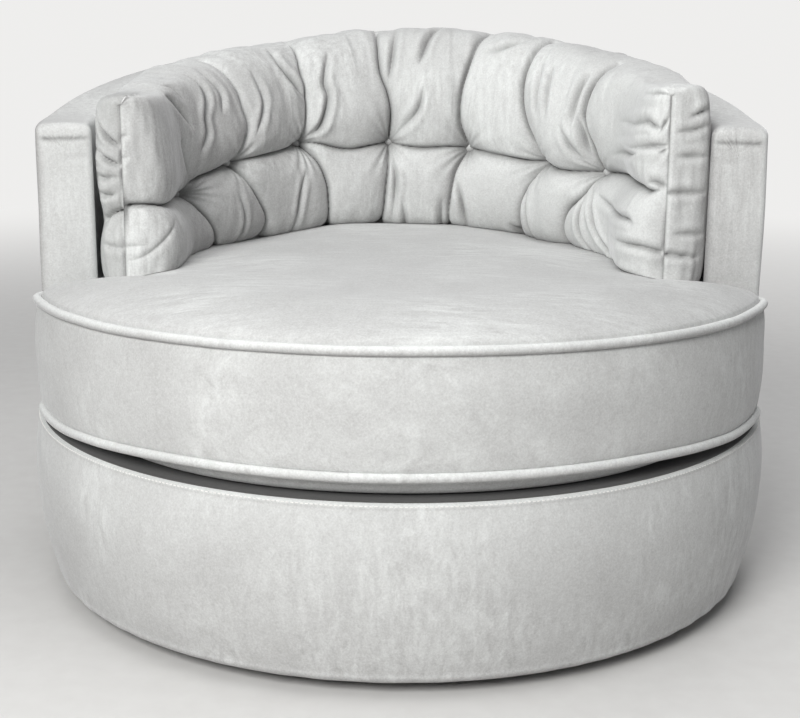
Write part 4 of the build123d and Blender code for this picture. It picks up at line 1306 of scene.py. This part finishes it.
def bolster_surface():
    """The plain roll pressed in along its normals by the sewn creases, by the loose folds and
    their swell, by gathers that ray out from the tufts, by slack and by the end seams; then kept
    off the wall behind it and the seat below. The back is dimpled behind each tuft. Also given are
    the painted shade of the slits, deep folds, tuft pits and end seams, with the left gusset strip
    darkened too, and the seats of both rows of buttons."""
    points, run, way, swing = bolster_grid()
    normal = grid_normals(points)
    middle = len(points) // 2, front_columns // 2
    normal *= -np.sign(normal[middle] @ points[middle])
    press, slit = sewn_press(points, run, way)
    fold, swell = folded_press(run, way)
    press += fold - swell
    # Painted shade: the slits and the deep folds are darkened in the colour.
    shade = np.maximum((slit / slit_depth) ** 1.5, fold / full_fold)
    tuft_turn, tuft_share = np.radians(tufts[:, 0]), tufts[:, 1]
    tuft_run, tuft_way = tuft_turn * bolster_girth, tuft_share * front_length
    for number, (across, along) in enumerate(zip(tuft_run, tuft_way)):
        gap = np.hypot(run - across, way - along)
        ray = np.arctan2(way - along, run - across)
        star = np.cos(star_rays * ray + 2 * np.sin(2 * ray + number) + 1.7 * number)
        press += star_depth * star * np.exp(-gap / star_reach) * (1 - np.exp(-gap / star_eye))
        pit = np.exp(-gap / pit_reach)
        press += pit_depth * pit - slit * pit
        # Painted shade in the pit of each tuft.
        shade = np.maximum(shade, pit)
    press += slack_press(run, way)
    # The end seams get painted shade, and the left gusset strip is darkened.
    seam = (swing > 0.5) * dip(end_run * (1 - swing / (np.pi / 2)), end_seam_width)
    press += seam * (-end_seam_proud - press)
    shade = np.maximum(shade * (1 - seam), end_seam_shade * seam**4)
    left_strip = ease((-run - bolster_girth * bolster_turn - end_run) / end_seam_width)
    shade = np.maximum(shade, left_strip_shade * left_strip)
    pressed = points - press[..., None] * normal
    radius = np.hypot(pressed[..., 0], pressed[..., 1])
    pressed[..., :2] *= np.minimum(1, bolster_back / radius)[..., None]
    floor = seat_height(pressed[..., 0], pressed[..., 1]) + seat_room
    pressed[..., 2] = np.maximum(pressed[..., 2], floor)
    away = (run[..., None] - tuft_run) ** 2 + (way[..., None] - tuft_way) ** 2
    nearest = away.reshape(-1, len(tufts)).argmin(0)
    seats = pressed.reshape(-1, 3)[nearest]
    angle = np.arctan2(pressed[..., 0], pressed[..., 1])
    radius = np.hypot(pressed[..., 0], pressed[..., 1])
    behind = np.zeros((len(tufts), 3))
    for number, (turn, height) in enumerate(zip(tuft_turn, seats[:, 2])):
        gap = np.hypot(bolster_back * (angle - turn), pressed[..., 2] - height)
        gap = np.where((radius > dimple_from) & (swing == 0), gap, 1)
        pressed[..., :2] *= (1 - dimple_depth * dip(gap, dimple_width) / radius)[..., None]
        behind[number] = pressed.reshape(-1, 3)[gap.argmin()]
    return pressed, shade, seats, behind


bolster_points, bolster_shade, front_seats, back_seats = bolster_surface()
# Painted light and shade from the left: faces turned to -x and to the front are painted lighter,
# faces turned to +x darker.
bolster_nap = velvet("velvet_bolster_nap", strokes=(110, 110, 16), light_side=(-0.20, -0.05, 0.02))
bolster = grid_piece("bolster_velvet", bolster_points, bolster_nap, True, bolster_shade)
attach(bolster, "back_bolster")
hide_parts("bolster_cover", "bolster_fill")

button_radius = 0.0075
button_rise = 0.008
button_sink = 0.001


def button_surfaces(seats, facing):
    """Covered buttons: flat domes, one on each seat, that face the swivel axis or away from it."""
    ring = quarter(9)[:, None]
    spin = full_turn(20)[None, :]
    across = button_radius * np.sin(ring) * np.cos(spin)
    upward = button_radius * np.sin(ring) * np.sin(spin)
    proud = button_rise * np.cos(ring) - button_sink + 0 * spin
    ahead = facing * seats[:, :2] / np.hypot(*seats[:, :2].T)[:, None]
    beside = np.stack([-ahead[:, 1], ahead[:, 0]], -1)
    plan = (
        seats[:, None, None, :2]
        + proud[None, ..., None] * ahead[:, None, None, :]
        + across[None, ..., None] * beside[:, None, None, :]
    )
    height = seats[:, None, None, 2] + upward[None]
    return np.concatenate([plan, height[..., None]], -1)


for row, seats, facing in (("tuft_buttons", front_seats, -1), ("tuft_back_buttons", back_seats, 1)):
    for number, points in enumerate(button_surfaces(seats, facing), 1):
        button = grid_piece(f"{row}_{number}", points, upright_nap, around=True)
        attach(button, "back_bolster")
        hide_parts(row)
dress(thread, "tuft_twines")

# Studio: a plain pale floor that fades into the backdrop, one broad soft light in front and to
# the left, weaker ones overhead and behind, and a camera where the photograph was taken.
backdrop = (0.86, 0.855, 0.845)
floor_pale = (0.69, 0.685, 0.675)
floor_deep = (0.62, 0.61, 0.60)
fade_from = 1.2
fade_to = 4.5


def floor_material():
    """Pale matt floor: a fine mottle near the chair, and far off the camera sees the backdrop."""
    material, tree, shader, place = new_material("studio_floor")
    mottle = noise(tree, place, scale=30.0, detail=6.0, rough=0.5, swirl=0.0)
    tint = blend(tree, mottle, (*floor_deep, 1), (*floor_pale, 1))
    tree.links.new(tint, shader.inputs["Base Color"])
    shader.inputs["Roughness"].default_value = 0.9
    away = add_node(tree, "VectorMath", {0: place}, operation="LENGTH").outputs["Value"]
    fade = add_node(
        tree, "MapRange", {"Value": away, "From Min": fade_from, "From Max": fade_to},
        interpolation_type="SMOOTHSTEP",
    ).outputs[0]
    seen = add_node(tree, "LightPath")
    share = reckon(tree, "MULTIPLY", fade, seen.outputs["Is Camera Ray"])
    glow = add_node(tree, "Emission", {"Color": (*backdrop, 1)})
    shown = add_node(tree, "MixShader", {0: share, 1: shader.outputs[0], 2: glow.outputs[0]})
    tree.links.new(shown.outputs[0], tree.nodes["Material Output"].inputs["Surface"])
    return material


floor_reach = 30
floor_ring = np.concatenate([[0], np.geomspace(0.2, floor_reach, 24)])[:, None]
floor_spin = full_turn(64)[None, :]
floor_points = np.stack(np.broadcast_arrays(
    floor_ring * np.sin(floor_spin), -floor_ring * np.cos(floor_spin), 0 * floor_spin), -1)
floor = grid_piece("studio_floor", floor_points, floor_material(), around=True)

world = bpy.data.worlds.new("studio_world")
bpy.context.scene.world = world
world.use_nodes = True
sky = world.node_tree
seen = add_node(sky, "LightPath")
fill_light = add_node(sky, "Background", {"Color": (0.95, 0.97, 1.0, 1), "Strength": 0.19})
paper = add_node(sky, "Background", {"Color": (*backdrop, 1), "Strength": 1.0})
bare = reckon(sky, "MAXIMUM", seen.outputs["Is Camera Ray"], seen.outputs["Is Glossy Ray"])
shown = add_node(sky, "MixShader", {0: bare, 1: fill_light.outputs[0], 2: paper.outputs[0]})
sky.links.new(shown.outputs[0], sky.nodes["World Output"].inputs["Surface"])


def area_light(name, place, aim, size, energy, colour):
    """A square soft light at a place, turned to face an aim point."""
    data = bpy.data.lights.new(name, "AREA")
    data.size = size
    data.energy = energy
    data.color = colour
    lamp = bpy.data.objects.new(name, data)
    bpy.context.scene.collection.objects.link(lamp)
    lamp.visible_camera = False
    ahead = np.array(aim) - np.array(place)
    lamp.location = place
    lamp.rotation_euler = (
        np.arctan2(np.hypot(ahead[0], ahead[1]), -ahead[2]), 0, np.arctan2(-ahead[0], ahead[1])
    )
    return lamp


area_light(
    "key_light", place=(-1.0, -2.75, 2.0), aim=(0, 0, 0.4), size=1.3, energy=96,
    colour=(1.0, 1.0, 0.985),
)
area_light(
    "rear_light", place=(1.3, 2.6, 2.2), aim=(0, 0, 0.4), size=1.6, energy=24,
    colour=(1.0, 1.0, 1.0),
)
area_light(
    "overhead_light", place=(0.1, -0.5, 3.0), aim=(0, 0, 0.3), size=2.0, energy=30,
    colour=(1.0, 1.0, 1.0),
)

camera_place = (0, -2.049, 0.779)
camera_pitch = np.radians(76.8)
camera_roll = np.radians(0.41)
camera_lens = 63
camera_data = bpy.data.cameras.new("camera")
camera_data.lens = camera_lens
camera = bpy.data.objects.new("camera", camera_data)
bpy.context.scene.collection.objects.link(camera)
camera.matrix_world = (
    Matrix.Translation(camera_place)
    @ Matrix.Rotation(camera_pitch, 4, "X")
    @ Matrix.Rotation(camera_roll, 4, "Z")
)
bpy.context.scene.camera = camera
bpy.context.scene.view_settings.view_transform = "Standard"
